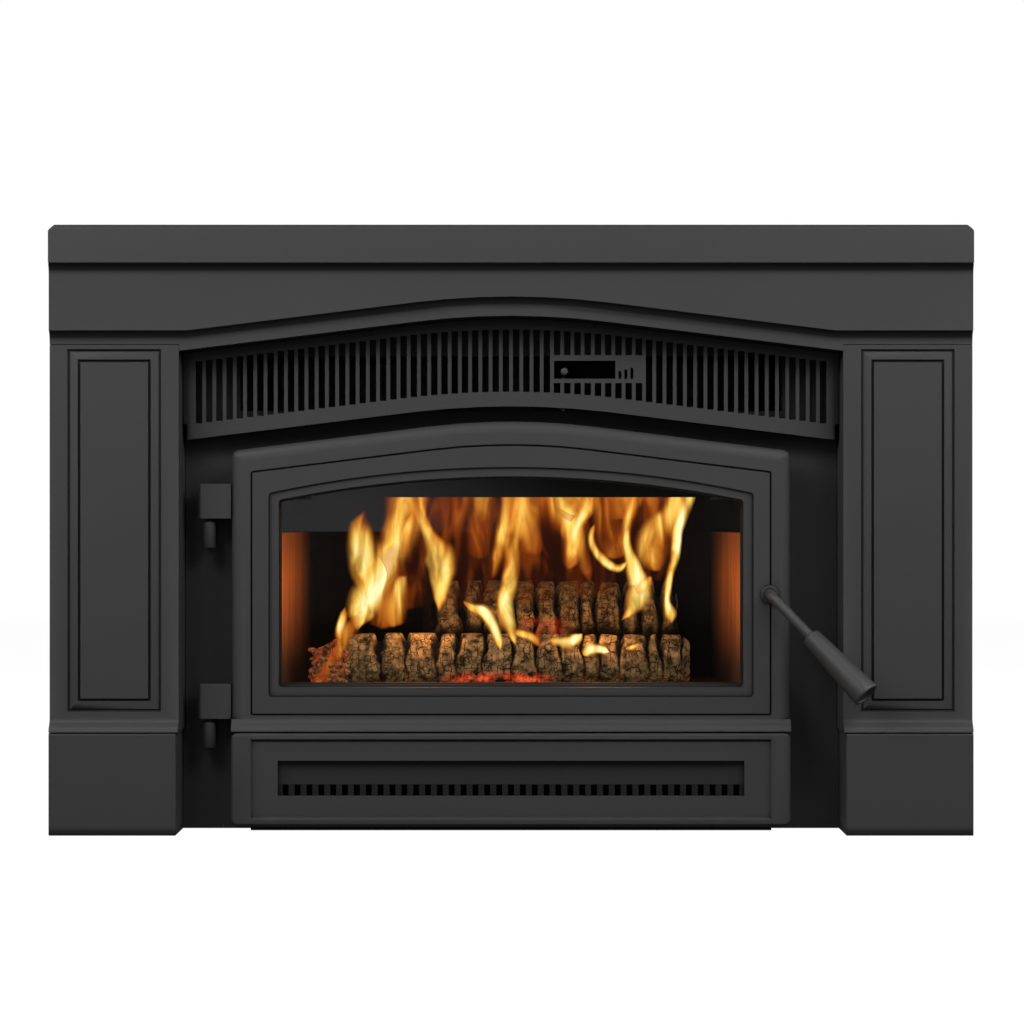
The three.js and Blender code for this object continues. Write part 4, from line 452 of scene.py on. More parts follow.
def baffle_board():
    """Pressed vermiculite board: pale gold flakes of a few millimetres, soft and matt."""
    finish, tree, surface, place = new_finish("pressed_vermiculite_board")
    surface.inputs["Roughness"].default_value = 0.9
    flakes = add_node(tree, "ShaderNodeTexVoronoi", None, {"Vector": place, "Scale": 1000 / 3.5})
    tone = add_node(tree, "ShaderNodeSeparateColor", None, {0: flakes.outputs["Color"]})
    mix = add_node(tree, "ShaderNodeMix", {"data_type": "RGBA"},
                   {0: tone.outputs[0], 6: linear("#5b4f3d"), 7: linear("#87765a")})
    tree.links.new(mix.outputs[2], surface.inputs["Base Color"])
    tree.links.new(relief(tree, tone.outputs[1], 0.4, 0.5), surface.inputs["Normal"])
    return finish


def braided_rope():
    """Braided glass-fibre rope, dyed black: 3 mm strands, dusty and matt."""
    finish, tree, surface, place = new_finish("braided_glass_fibre_rope")
    surface.inputs["Roughness"].default_value = 0.95
    strands = add_node(tree, "ShaderNodeTexVoronoi", None, {"Vector": place, "Scale": 1000 / 3})
    mix = add_node(tree, "ShaderNodeMix", {"data_type": "RGBA"},
                   {0: strands.outputs[0], 6: linear("#343331"), 7: linear("#151514")})
    tree.links.new(mix.outputs[2], surface.inputs["Base Color"])
    tree.links.new(relief(tree, strands.outputs[0], 0.8, -0.6), surface.inputs["Normal"])
    return finish


def ceramic_glass(look):
    """Clear glass-ceramic pane: nearly invisible, a faint smoky tint, one sharp reflection."""
    finish, tree, surface, place = new_finish("clear_glass_ceramic")
    surface.inputs["Base Color"].default_value = tuple(look.pane)
    surface.inputs["IOR"].default_value = 1.53
    surface.inputs["Specular IOR Level"].default_value = 0.35
    film = add_node(tree, "ShaderNodeTexNoise", None, {"Vector": place, "Scale": 1000 / 45, "Detail": 2.0})
    dull = add_node(tree, "ShaderNodeMapRange", None,
                    {0: film.outputs[0], 1: 0.3, 2: 0.7, 3: 0.03, 4: 0.09})
    tree.links.new(dull.outputs[0], surface.inputs["Roughness"])
    # a film of soot darkens the pane near its edges and thins out towards the middle
    axes = add_node(tree, "ShaderNodeSeparateXYZ", None, {0: place})
    side = add_node(tree, "ShaderNodeMath", {"operation": "ABSOLUTE"}, {0: axes.outputs[0]})
    edge = add_node(tree, "ShaderNodeMapRange", {"interpolation_type": "SMOOTHSTEP"},
                    {0: side.outputs[0], 1: 0.20, 2: 0.29, 3: 0.06, 4: 0.12})
    tree.links.new(edge.outputs[0], surface.inputs["Alpha"])
    return finish


def moulded_plastic():
    """Injection-moulded black nylon with a spark-eroded grain."""
    finish, tree, surface, place = new_finish("moulded_black_nylon")
    # the eroded grain is 0.1 mm; drawn at 0.8 mm, so that it shows
    grain = add_node(tree, "ShaderNodeTexNoise", None,
                     {"Vector": place, "Scale": 1000 / 0.8, "Detail": 2.0})
    nylon = vary(tree, place, 12, linear("#161617"), linear("#202021"))
    tree.links.new(nylon, surface.inputs["Base Color"])
    tree.links.new(relief(tree, grain.outputs[0], 0.05, 0.5), surface.inputs["Normal"])
    surface.inputs["Roughness"].default_value = 0.55
    return finish


def charred_wood(look):
    """Burning split hardwood: dusty brown char blocks between black cracks, red hot underneath."""
    finish, tree, surface, place = new_finish("charred_split_hardwood")
    surface.inputs["Roughness"].default_value = 0.95
    surface.inputs["Specular IOR Level"].default_value = 0.15
    fissure = add_node(tree, "ShaderNodeAttribute", {"attribute_name": "crack"}).outputs["Fac"]
    heat = add_node(tree, "ShaderNodeAttribute", {"attribute_name": "warmth"}).outputs["Fac"]
    # hairline cracks part the char into uneven little blocks, taller than wide
    bend = add_node(tree, "ShaderNodeTexNoise", None, {"Vector": place, "Scale": 1000 / 15, "Detail": 2.5})
    wander = add_node(tree, "ShaderNodeVectorMath", {"operation": "MULTIPLY_ADD"},
                      {0: bend.outputs[1], 1: (0.016, 0.016, 0.016), 2: place})
    axes = add_node(tree, "ShaderNodeSeparateXYZ", None, {0: wander.outputs[0]})
    upright = add_node(tree, "ShaderNodeCombineXYZ", None, {0: axes.outputs[2], 1: axes.outputs[0]})
    sparse = add_node(tree, "ShaderNodeMapRange", None,
                      {0: bend.outputs[0], 1: 0.36, 2: 0.56, 3: 0.35, 4: 1.0})
    blocks = add_node(tree, "ShaderNodeTexBrick", {"offset": 0.37, "squash": 0.6, "squash_frequency": 3},
                      {"Vector": upright.outputs[0], "Scale": 1000 / 10, "Mortar Size": 0.055,
                       "Mortar Smooth": 0.4, "Brick Width": 1.25, "Row Height": 0.85})
    clefts = add_node(tree, "ShaderNodeTexVoronoi", {"feature": "DISTANCE_TO_EDGE"},
                      {"Vector": wander.outputs[0], "Scale": 1000 / 19})
    cleft = add_node(tree, "ShaderNodeMapRange", {"interpolation_type": "SMOOTHSTEP"},
                     {0: clefts.outputs[0], 1: 0.0, 2: 0.055, 3: 0.9, 4: 0.0})
    crack = fissure
    for line in (blocks.outputs[1], cleft.outputs[0]):
        hair = add_node(tree, "ShaderNodeMath", {"operation": "MULTIPLY"}, {0: line, 1: sparse.outputs[0]})
        crack = add_node(tree, "ShaderNodeMath", {"operation": "MAXIMUM"},
                         {0: crack, 1: hair.outputs[0]}).outputs[0]
    ash = add_node(tree, "ShaderNodeTexNoise", None,
                   {"Vector": place, "Scale": 1000 / 12, "Detail": 5.0, "Roughness": 0.62})
    tone = add_node(tree, "ShaderNodeValToRGB", None, {0: ash.outputs[0]})
    stops = tone.color_ramp.elements
    stops[0].position, stops[0].color = 0.36, tuple(look.char_dark)
    stops[1].position, stops[1].color = 0.62, tuple(look.char_light)
    mix = add_node(tree, "ShaderNodeMix", {"data_type": "RGBA"},
                   {0: crack, 6: tone.outputs[0], 7: linear("#060504")})
    tree.links.new(mix.outputs[2], surface.inputs["Base Color"])
    flakes = add_node(tree, "ShaderNodeTexNoise", None,
                      {"Vector": place, "Scale": 1000 / 2.2, "Detail": 4.0})
    dents = relief(tree, crack, 1.2, -0.8)
    tree.links.new(relief(tree, flakes.outputs[0], 0.5, 0.5, dents), surface.inputs["Normal"])
    ember = add_node(tree, "ShaderNodeTexNoise", None, {"Vector": place, "Scale": 1000 / 12, "Detail": 4.0})
    patch = add_node(tree, "ShaderNodeMapRange", None,
                     {0: ember.outputs[0], 1: 0.38, 2: 0.62, 3: 0.0, 4: 1.0})
    hot = add_node(tree, "ShaderNodeMath", {"operation": "MULTIPLY"}, {0: heat, 1: patch.outputs[0]})
    red = add_node(tree, "ShaderNodeValToRGB", None, {0: hot.outputs[0]})
    red.color_ramp.elements[0].color = BLACK
    red.color_ramp.elements[1].color = linear("#e0481a")
    red.color_ramp.elements.new(0.5).color = tuple(look.ember)
    # painted fire light: the char colour times the fire light is given out as emission, so that it also
    # shows where no lamp stands
    warm = add_node(tree, "ShaderNodeMix", {"data_type": "RGBA", "blend_type": "MULTIPLY"},
                    {0: 1.0, 6: mix.outputs[2], 7: tuple(look.fire_light)})
    ember_and_painted_light = add_node(tree, "ShaderNodeMix", {"data_type": "RGBA", "blend_type": "ADD"},
                   {0: 1.0, 6: red.outputs[0], 7: warm.outputs[2]})
    tree.links.new(ember_and_painted_light.outputs[2], surface.inputs["Emission Color"])
    surface.inputs["Emission Strength"].default_value = 1.0
    return finish


def flame(look):
    """Burning gas: soft see-through edges, orange outside and pale yellow at the core."""
    finish, tree, surface, place = new_finish("wood_flame")
    surface.inputs["Base Color"].default_value = BLACK
    surface.inputs["Specular IOR Level"].default_value = 0.0
    surface.inputs["Roughness"].default_value = 1.0
    heat = add_node(tree, "ShaderNodeAttribute", {"attribute_name": "warmth"}).outputs["Fac"]
    veil = add_node(tree, "ShaderNodeAttribute", {"attribute_name": "veil"}).outputs["Fac"]
    draught = add_node(tree, "ShaderNodeMapping", None, {"Vector": place, "Scale": (44, 22, 10)})
    streak = add_node(tree, "ShaderNodeTexNoise", None,
                      {"Vector": draught.outputs[0], "Scale": 1.0, "Detail": 3.0, "Distortion": 0.9})
    push = add_node(tree, "ShaderNodeMapRange", None,
                    {0: streak.outputs[0], 1: 0.3, 2: 0.7, 3: -0.26, 4: 0.18})
    warmth = add_node(tree, "ShaderNodeMath", {"operation": "ADD", "use_clamp": True},
                      {0: heat, 1: push.outputs[0]})
    ramp = add_node(tree, "ShaderNodeValToRGB", None, {0: warmth.outputs[0]})
    stops = ramp.color_ramp.elements
    stops[0].color, stops[1].color = tuple(look.flame_edge), tuple(look.flame_core)
    for position, shade in ((0.26, look.flame_low), (0.52, look.flame_middle), (0.76, look.flame_high)):
        stops.new(position).color = tuple(shade)
    tree.links.new(ramp.outputs[0], surface.inputs["Emission Color"])
    surface.inputs["Emission Strength"].default_value = 1.35
    thin = add_node(tree, "ShaderNodeMapRange", None,
                    {0: streak.outputs[0], 1: 0.3, 2: 0.66, 3: 0.5, 4: 1.3})
    cover = add_node(tree, "ShaderNodeMath", {"operation": "MULTIPLY", "use_clamp": True},
                     {0: veil, 1: thin.outputs[0]})
    tree.links.new(cover.outputs[0], surface.inputs["Alpha"])
    return finish


def studio_paper():
    """White paper: the camera sees it white, mirrors see it dimly, the lamps find it a dark grey."""
    finish, tree, surface, place = new_finish("white_paper")
    surface.inputs["Roughness"].default_value = 0.9
    surface.inputs["Specular IOR Level"].default_value = 0.0
    paper = vary(tree, place, 400, linear("#454545"), linear("#494949"))
    tree.links.new(paper, surface.inputs["Base Color"])
    surface.inputs["Emission Color"].default_value = WHITE
    tree.links.new(seen_share(tree, 0.98, 0.0), surface.inputs["Emission Strength"])
    return finish


def seen_share(tree, seen, unseen, mirrored=0.15):
    """A value for camera rays, also through glass, another for all others, a share of both in mirrors."""
    ray = add_node(tree, "ShaderNodeLightPath")
    either = add_node(tree, "ShaderNodeMath", {"operation": "MAXIMUM"},
                      {0: ray.outputs["Is Camera Ray"], 1: ray.outputs["Is Transmission Ray"]})
    glint = add_node(tree, "ShaderNodeMath", {"operation": "MULTIPLY"},
                     {0: ray.outputs["Is Glossy Ray"], 1: mirrored})
    shown = add_node(tree, "ShaderNodeMath", {"operation": "MAXIMUM"},
                     {0: either.outputs[0], 1: glint.outputs[0]})
    share = add_node(tree, "ShaderNodeMapRange", None,
                     {0: shown.outputs[0], 1: 0.0, 2: 1.0, 3: unseen, 4: seen})
    return share.outputs[0]


# ---------------------------------------------------------------- castings and plates


# Body, material slot and edge radius in millimetres of the pieces that face the room
EASED = {
    "mantel_shelf": ("root", "cast_iron", 1.0),
    "header_casting": ("root", "cast_iron", 0.6),
    "pilaster_left": ("root", "cast_iron", 0.4),
    "pilaster_right": ("root", "cast_iron", 0.4),
    "plinth_left": ("root", "cast_iron", 1.0),
    "plinth_right": ("root", "cast_iron", 1.0),
    "lower_panel": ("root", "cast_iron", 0.5),
    "louvre_grille": ("root", "painted_steel", 0.4),
    "door_frame": ("door", "cast_iron", 0.5),
    "hinge_knuckle_upper": ("door", "cast_iron", 0.9),
    "hinge_knuckle_lower": ("door", "cast_iron", 0.9),
}


def build_castings(finishes):
    """The castings that face the room, with the soft edges that sand moulding leaves."""
    for node, (body, slot, edge) in EASED.items():
        settle(edged_copy(node, finishes["cast_iron"], edge), body, [node])


# ---------------------------------------------------------------- turned and drawn parts


def make_block(name, low, high, finish, edge=0.6):
    """A sheet or bar between two corners in millimetres, its edges eased."""
    (x0, y0, z0), (x1, y1, z1) = low, high
    points = [(x, y, z) for x in (x0, x1) for y in (y0, y1) for z in (z0, z1)]
    faces = [(0, 1, 3, 2), (4, 6, 7, 5), (0, 4, 5, 1), (2, 3, 7, 6), (0, 2, 6, 4), (1, 5, 7, 3)]
    piece = make_piece(name, points, faces, finish)
    bevel = piece.modifiers.new("eased edges", "BEVEL")
    bevel.width, bevel.segments = edge / 1000, 2
    bake_modifiers(piece)
    piece.data.set_sharp_from_angle(angle=math.radians(SHARP))
    return piece


def turned(name, start, along, profile, finish, sides=56, hollow=False):
    """A piece turned about an axis, from a profile of (distance, radius); hollow ones have a bore."""
    start, axis = Vector(start), Vector(along).normalized()
    first = axis.orthogonal().normalized()
    second = axis.cross(first)
    rings = []
    for distance, radius in profile:
        centre = start + axis * distance
        rings.append([
            tuple(centre + radius * (first * math.cos(t) + second * math.sin(t)))
            for t in (2 * math.pi * i / sides for i in range(sides))
        ])
    return loft(name, rings, finish, closed=hollow, caps=not hollow)


def swept(name, path, radius, finish, sides=28):
    """A round bar along a list of points in millimetres, with flat ends."""
    path = [Vector(p) for p in path]
    rings, side = [], None
    for i, point in enumerate(path):
        run = (path[min(i + 1, len(path) - 1)] - path[max(i - 1, 0)]).normalized()
        side = (run.orthogonal() if side is None else side - run * side.dot(run)).normalized()
        other = run.cross(side)
        rings.append([
            tuple(point + radius * (side * math.cos(t) + other * math.sin(t)))
            for t in (2 * math.pi * k / sides for k in range(sides))
        ])
    return loft(name, rings, finish, closed=False, caps=True)


def bend(corner, into, out, radius, steps=10):
    """Points of an arc that rounds a corner between two directions."""
    corner, into, out = Vector(corner), Vector(into).normalized(), Vector(out).normalized()
    points = []
    for i in range(steps + 1):
        t = i / steps
        points.append(tuple((1 - t) ** 2 * (corner - into * radius) + 2 * t * (1 - t) * corner
                            + t * t * (corner + out * radius)))
    return points


class HandleSizes(bpy.types.PropertyGroup):
    """Sizes of the door handle."""

    x: length("Spindle X", "Place of the spindle to the right of the middle", 316)
    z: length("Spindle height", "Height of the spindle above the floor", 290.4)
    elbow: length("Elbow", "Depth of the bend of the rod in front of the frame's zero plane", -62)
    rod_radius: length("Rod radius", "Radius of the round rod", 6.4)
    rod_end: length("Rod end", "Length of the lever part of the rod", 86)
    grip_start: length("Grip start", "Where the grip begins along the lever", 72)
    grip_length: length("Grip length", "Length of the tapered grip", 101)
    grip_small: length("Grip neck", "Radius of the grip at the rod", 12)
    grip_large: length("Grip head", "Radius of the grip at its free end", 17.05)
    bush_radius: length("Bush radius", "Radius of the bush in the door frame", 11.5)
    spindle: length("Spindle", "Radius of the spindle in the bush", 4.8)
    bend: length("Bend", "Reach of the bend between the spindle and the lever", 8.5)


def build_handle(sizes, finishes):
    """Bent rod, tapered grip and the bush that carries them in the door frame."""
    s = millimetres(sizes)
    fall, tilt = math.radians(47.3), math.radians(21)  # below level, and towards the room
    lever = Vector((math.cos(fall) * math.cos(tilt), -math.sin(tilt), -math.sin(fall) * math.cos(tilt)))
    elbow = Vector((s.x, s.elbow, s.z))
    path = [(s.x, -50.4, s.z), (s.x, -53, s.z)]  # the rod leaves the door square to its face
    path += bend(elbow, (0, -1, 0), lever, s.bend)
    path += [tuple(elbow + lever * d) for d in (30, s.rod_end)]
    rod = swept("handle_rod_bent", path, s.rod_radius, finishes["handle"])
    settle(rod, "handle", ["handle_rod"])
    spindle = turned("handle_spindle", (s.x, -50.6, s.z), (0, 1, 0),
                     [(0, s.spindle - 0.4), (0.4, s.spindle), (39.6, s.spindle), (40, s.spindle - 0.4)],
                     finishes["handle"])
    settle(spindle, "handle")
    end = s.grip_start + s.grip_length
    small, large = s.grip_small, s.grip_large
    taper = [(s.grip_start, 6.6), (s.grip_start, small - 2.4), (s.grip_start + 0.6, small - 1.2),
             (s.grip_start + 1.8, small - 0.2)]
    for i in range(1, 9):
        taper.append((s.grip_start + 3 + (end - 6 - s.grip_start) * i / 8, small + (large - small) * i / 8))
    taper += [(end - 1.2, large - 0.1), (end - 0.3, large - 0.6), (end, large - 1.5),
              (end, large - 3.4), (end - 0.4, large - 3.9), (end - 2.6, large - 4.4), (end - 2.9, 0.3)]
    grip = turned("handle_grip_tapered", tuple(elbow), lever, taper, finishes["handle"])
    settle(grip, "handle", ["handle_grip"])
    r, bore = s.bush_radius, s.spindle + 0.4
    dish = [(0, bore), (0, 7.8), (-0.5, 8.6), (0, 9.6), (0.2, r - 0.9), (0.9, r - 0.2), (2.2, r),
            (19.4, r), (19.4, bore)]
    bush = turned("handle_bush_dished", (s.x, -50, s.z), (0, 1, 0), dish, finishes["steel_paint"],
                  hollow=True)
    settle(bush, "door", ["handle_bush"])


class RoundSizes(bpy.types.PropertyGroup):
    """Sizes of the air control, the hinge pins and the flue collar."""

    control_x: length("Air control X", "Place of the air control to the right of the middle", 65.4)
    control_z: length("Air control height", "Height of its knob above the floor", 563.7)
    knob: length("Air control knob", "Radius of the knob of the air control", 4.5)
    rod: length("Air control rod", "Radius of the rod behind the knob", 3)
    hinge_x: length("Hinge X", "Place of the hinge line, to the left of the middle", -370.5)
    hinge_y: length("Hinge depth", "Depth of the hinge line in front of the zero plane", -31)
    upper: length("Upper hinge", "Height of the upper hinge barrel's top", 379.6)
    lower: length("Lower hinge", "Height of the lower hinge barrel's top", 134.5)
    barrel: length("Hinge barrel", "Radius of the barrel under a knuckle", 8)
    pin: length("Hinge pin", "Radius of the pin inside a knuckle", 4)
    flue_y: length("Flue depth", "Depth of the middle of the flue behind the zero plane", 255)
    flue_foot: length("Collar foot", "Height of the flange of the flue collar", 505.6)
    flue_top: length("Collar top", "Height of the rim of the flue collar", 642.4)
    flue_inside: length("Collar bore", "Radius inside the flue collar", 73)
    flue_outside: length("Collar outside", "Radius outside the flue collar, where the pipe fits", 76)
    flange: length("Collar flange", "Radius of the flange of the flue collar", 94)


def build_round_parts(sizes, finishes):
    """Smooth versions of the round pins, pipes and tubes whose CAD solids have few sides."""
    s = millimetres(sizes)
    x, z, knob, rod = s.control_x, s.control_z, s.knob, s.rod
    profile = [(0, 0.4), (0, knob - 1.9), (0.4, knob - 0.7), (1.4, knob), (8.2, knob), (9, knob - 0.8),
               (9, rod), (75, rod), (75.4, rod - 0.4)]
    control = turned("air_control_knob", (x, -34, z), (0, 1, 0), profile, finishes["handle"])
    drop = swept("air_control_drop", [(x, 40, z + 2), (x, 40, 540), (x, 40, 509)], rod - 0.1,
                 finishes["handle"])
    for piece in (control, drop):
        settle(piece, "air_control")
    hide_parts("air_control_rod")
    x, y, r = s.hinge_x, s.hinge_y, s.barrel
    profile = [(0, r - 1.4), (0.4, r - 0.5), (1.3, r), (31.2, r), (32.1, r - 0.5), (32.5, r - 1.6),
               (32.6, s.pin + 0.1), (67.5, s.pin)]
    for label, top in (("upper", s.upper), ("lower", s.lower)):
        pin = turned("hinge_barrel_" + label, (x, y, top - 32.5), (0, 0, 1), profile,
                     finishes["steel_paint"])
        arm = make_block("hinge_arm_" + label, (x - r, y, top - 27.5), (x + 7, 0, top - 3),
                         finishes["steel_paint"])
        settle(pin, "root", ["hinge_pin_" + label])
        settle(arm, "root")
    bore, pipe, rim, top = s.flue_inside, s.flue_outside, s.flange, s.flue_top - s.flue_foot
    profile = [(0, bore), (0, rim - 0.4), (0.4, rim), (3.6, rim), (4, rim - 0.4), (4, pipe + 3),
               (5, pipe + 1), (7, pipe), (top - 0.6, pipe), (top, pipe - 0.6), (top, bore + 0.6),
               (top - 0.6, bore)]
    collar = turned("flue_collar_turned", (0, s.flue_y, s.flue_foot), (0, 0, 1), profile,
                    finishes["cast_iron"], 96, hollow=True)
    settle(collar, "root", ["flue_collar"])


# ---------------------------------------------------------------- fixings grown by node trees


class NodeSheet:
    """A geometry node tree in the making, with its named inputs and their first values."""

    def __init__(self, name):
        """An empty tree that takes a geometry and gives one."""
        self.tree = bpy.data.node_groups.new(name, "GeometryNodeTree")
        self.tree.interface.new_socket("Geometry", in_out="INPUT", socket_type="NodeSocketGeometry")
        self.tree.interface.new_socket("Geometry", in_out="OUTPUT", socket_type="NodeSocketGeometry")
        self.source = self.tree.nodes.new("NodeGroupInput")
        self.values = {}

    def input(self, name, value, kind="NodeSocketFloat"):
        """A named input of the tree and the value that it starts with."""
        socket = self.tree.interface.new_socket(name, in_out="INPUT", socket_type=kind)
        self.values[socket.identifier] = value
        return self.source.outputs[name]

    def add(self, kind, settings=None, links=None):
        """A node of the tree."""
        return add_node(self.tree, kind, settings, links)

    def grow(self, name, instances, finish, sharp=SHARP):
        """Makes the instances real, paints them and returns the plain mesh piece."""
        real = self.add("GeometryNodeRealizeInstances", None, {0: instances})
        painted = self.add("GeometryNodeSetMaterial", None, {0: real.outputs[0], "Material": finish})
        self.add("NodeGroupOutput", None, {0: painted.outputs[0]})
        piece = bpy.data.objects.new(name, bpy.data.meshes.new(name))
        bpy.context.scene.collection.objects.link(piece)
        modifier = piece.modifiers.new("grow", "NODES")
        modifier.node_group = self.tree
        for key, value in self.values.items():
            modifier[key] = value
        bake_modifiers(piece)
        piece.data.name = name
        piece.data.shade_smooth()
        piece.data.set_sharp_from_angle(angle=math.radians(sharp))
        return piece


class ScrewSizes(bpy.types.PropertyGroup):
    """Sizes of the sheet-metal screws of the jacket."""

    across: length("Across flats", "Width of the hexagon head", 7)
    height: length("Head height", "Height of the hexagon above its washer", 2.4)
    washer: length("Washer", "Diameter of the pressed washer under the head", 10.5)
    pitch: length("Pitch", "Distance between two screws of a row", 95)


def screw_row(name, size, start, end, turn, finish):
    """A row of hexagon washer-head screws between two points in millimetres."""
    start, end = Vector(start) / 1000, Vector(end) / 1000
    sheet = NodeSheet(name)
    count = sheet.input("Count", max(2, round((end - start).length / size.pitch) + 1), "NodeSocketInt")
    first = sheet.input("Start", tuple(start), "NodeSocketVector")
    last = sheet.input("End", tuple(end), "NodeSocketVector")
    facing = sheet.input("Facing", tuple(math.radians(a) for a in turn), "NodeSocketVector")
    flats = sheet.input("Across flats", size.across)
    tall = sheet.input("Head height", size.height)
    width = sheet.input("Washer", size.washer)
    row = sheet.add("GeometryNodeMeshLine", {"mode": "END_POINTS"},
                    {"Count": count, "Start Location": first, "Offset": last})
    # the corners of a hexagon are 0.577 of its width across flats from its middle
    half = sheet.add("ShaderNodeMath", {"operation": "MULTIPLY"}, {0: flats, 1: 0.577})
    ring = sheet.add("ShaderNodeMath", {"operation": "MULTIPLY"}, {0: width, 1: 0.5})
    top = sheet.add("ShaderNodeMath", {"operation": "MULTIPLY"}, {0: half.outputs[0], 1: 0.82})
    head = sheet.add("GeometryNodeMeshCylinder", None,
                     {"Vertices": 6, "Radius": half.outputs[0], "Depth": tall})
    lift = sheet.add("ShaderNodeCombineXYZ", None, {2: tall})
    raised = sheet.add("GeometryNodeTransform", None, {0: head.outputs[0], "Translation": lift.outputs[0]})
    crown = sheet.add("GeometryNodeMeshCone", None, {
        "Vertices": 24, "Radius Top": top.outputs[0], "Radius Bottom": ring.outputs[0],
        "Depth": 1.2 / 1000})
    both = sheet.add("GeometryNodeJoinGeometry")
    sheet.tree.links.new(raised.outputs[0], both.inputs[0])
    sheet.tree.links.new(crown.outputs[0], both.inputs[0])
    spin = sheet.add("FunctionNodeRandomValue", {"data_type": "FLOAT"}, {2: 0.0, 3: 1.0, "Seed": 7})
    screws = sheet.add("GeometryNodeInstanceOnPoints", None,
                       {0: row.outputs[0], "Instance": both.outputs[0], "Rotation": facing})
    turned_heads = sheet.add("GeometryNodeRotateInstances", None, {
        0: screws.outputs[0],
        "Rotation": sheet.add("ShaderNodeCombineXYZ", None, {2: spin.outputs[1]}).outputs[0]})
    return sheet.grow(name, turned_heads.outputs[0], finish)


def build_fixings(size, finishes):
    """Screws along the seams of the convection jacket, and the black sealant at its foot."""
    zinc = finishes["ground_steel"]
    slant = math.degrees(math.atan2(26, 465))  # the jacket narrows by 26 mm a side over its depth
    rows = (
        ("jacket_screws_back_top", (-300, 470, 586), (300, 470, 586), (-90, 0, 0)),
        ("jacket_screws_back_foot", (-300, 470, 16), (300, 470, 16), (-90, 0, 0)),
        ("jacket_screws_left", (-355, 30, 586), (-332, 440, 586), (0, -90, -slant)),
        ("jacket_screws_right", (355, 30, 586), (332, 440, 586), (0, 90, slant)),
    )
    for name, start, end, turn in rows:
        settle(screw_row(name, size, start, end, turn, zinc), "root")
    bead = make_block("jacket_foot_sealant", (-322, 464.5, 2.7), (322, 468.3, 7.5), finishes["inner_plate"])
    settle(bead, "root")


# ---------------------------------------------------------------- fire


class FireSizes(bpy.types.PropertyGroup):
    """Sizes of the logs, the embers and the flames."""

    front_left: length("Front log left", "Left end of the front log", -254)
    front_right: length("Front log right", "Right end of the front log", 229)
    front_radius: length("Front log radius", "Radius of the front log", 34)
    front_y: length("Front log depth", "Depth of the middle of the front log", 148)
    rear_left: length("Rear log left", "Left end of the rear log", -117)
    rear_right: length("Rear log right", "Right end of the rear log", 221)
    rear_radius: length("Rear log radius", "Radius of the rear log", 66)
    rear_y: length("Rear log depth", "Depth of the middle of the rear log", 296)
    hearth: length("Hearth", "Height of the hearth that the logs rest on", 167.6)
    block: length("Char block", "Width of one block of char between two fissures", 31)
    ember: length("Ember size", "Size of one glowing ember", 9)
    embers: number_of("Embers", "Number of embers spread over the hearth", 420)
    heap: number_of("Ember heap", "Number of embers heaped at the left end of the front log", 170)


def char_relief(x, angle, radius, size, seed, gap, reach):
    """Depth and fissure share of burnt wood; gap and reach are its fissures' width and depth, in mm."""
    arc = radius * angle
    drift = 7 * noise.noise(Vector((x / 45, arc / 38, seed)))
    jag = 2.2 * noise.noise(Vector((x / 8, arc / 7, seed + 3)))
    # blocks of char are wider towards the left end of the hearth
    row = (x + 0.0006 * x * x + drift + jag) / size.block
    nearest = round(row)
    shift = 0.3 * noise.noise(Vector((nearest * 3.7, seed, 0.5)))
    away = abs(row - nearest - shift) * size.block
    # fissures open like a V towards the top of the log and close lower down
    rise = blend_share(math.sin(min(max(angle, -1.57), 1.57)), -0.6, 0.75)  # 1.57 is a right angle
    own = 0.45 + 1.4 * abs(noise.noise(Vector((nearest * 1.9, 4.1, seed))))
    wide = gap * own * (0.15 + 0.85 * rise)
    cut = 1 - blend_share(away, 0.45 * wide, wide + 1.1)
    soft = noise.noise(Vector((x / 20, arc / 20, seed)))
    fine = noise.fractal(Vector((x / 5, arc / 7, seed)), 1.0, 2.0, 3)
    return reach * cut * (0.35 + 0.65 * rise) - 1.6 * soft - 0.6 * fine, cut ** 0.7


def grow_log(name, left, right, radius, y, size, finish, seed, gap, reach, worn, glow):
    """A charred log along X: blocks of char between fissures; worn is how thin its left end burnt."""
    step = 1.7
    around = max(48, int(2 * math.pi * radius / step))
    along = int((right - left) / step)
    middle = size.hearth + radius
    points, cracks, heats = [], [], []
    for i in range(along + 1):
        t = i / along
        x0 = left + (right - left) * t
        swell = 1 + 0.05 * noise.noise(Vector((x0 / 90, 0, seed)))
        end = min(t, 1 - t) * (right - left)
        round_end = 1 - 0.22 * (1 - blend_share(end, 0, 14)) ** 2
        round_end *= 1 - 0.55 * worn * (1 - blend_share(x0 - left, 6, 46))
        for k in range(around):
            angle = 2 * math.pi * k / around - math.pi
            depth, crack = char_relief(x0, angle, radius, size, seed, gap, reach)
            lobe = 1 + 0.04 * math.cos(3 * angle + seed) + 0.03 * math.sin(2 * angle + x0 / 120)
            r = (radius - 2.5 - depth) * swell * round_end * lobe
            r = min(r, radius)
            rough = 5 * noise.noise(Vector((math.cos(angle) * 2, math.sin(angle) * 2, seed + t)))
            x = x0 + rough * (1 - blend_share(end, 0, 20)) * (1 if t < 0.5 else -1)
            z = max(middle + r * math.sin(angle), size.hearth + 0.2)
            points.append((min(max(x, left), right), y - r * math.cos(angle), z))
            warmth, soot = glow(x, z - size.hearth, crack)
            cracks.append(max(crack, soot))
            heats.append(warmth)
    faces = ring_faces(around, along + 1, False)
    for base in (0, along * around):
        centre = len(points)
        x = left + 5 if base == 0 else right - 5
        points.append((x, y, middle))
        cracks.append(0.6)
        heats.append(0.1)
        faces += [(base + k, base + (k + 1) % around, centre) for k in range(around)]
    return make_piece(name, points, faces, finish, 60, {"crack": cracks, "warmth": heats})


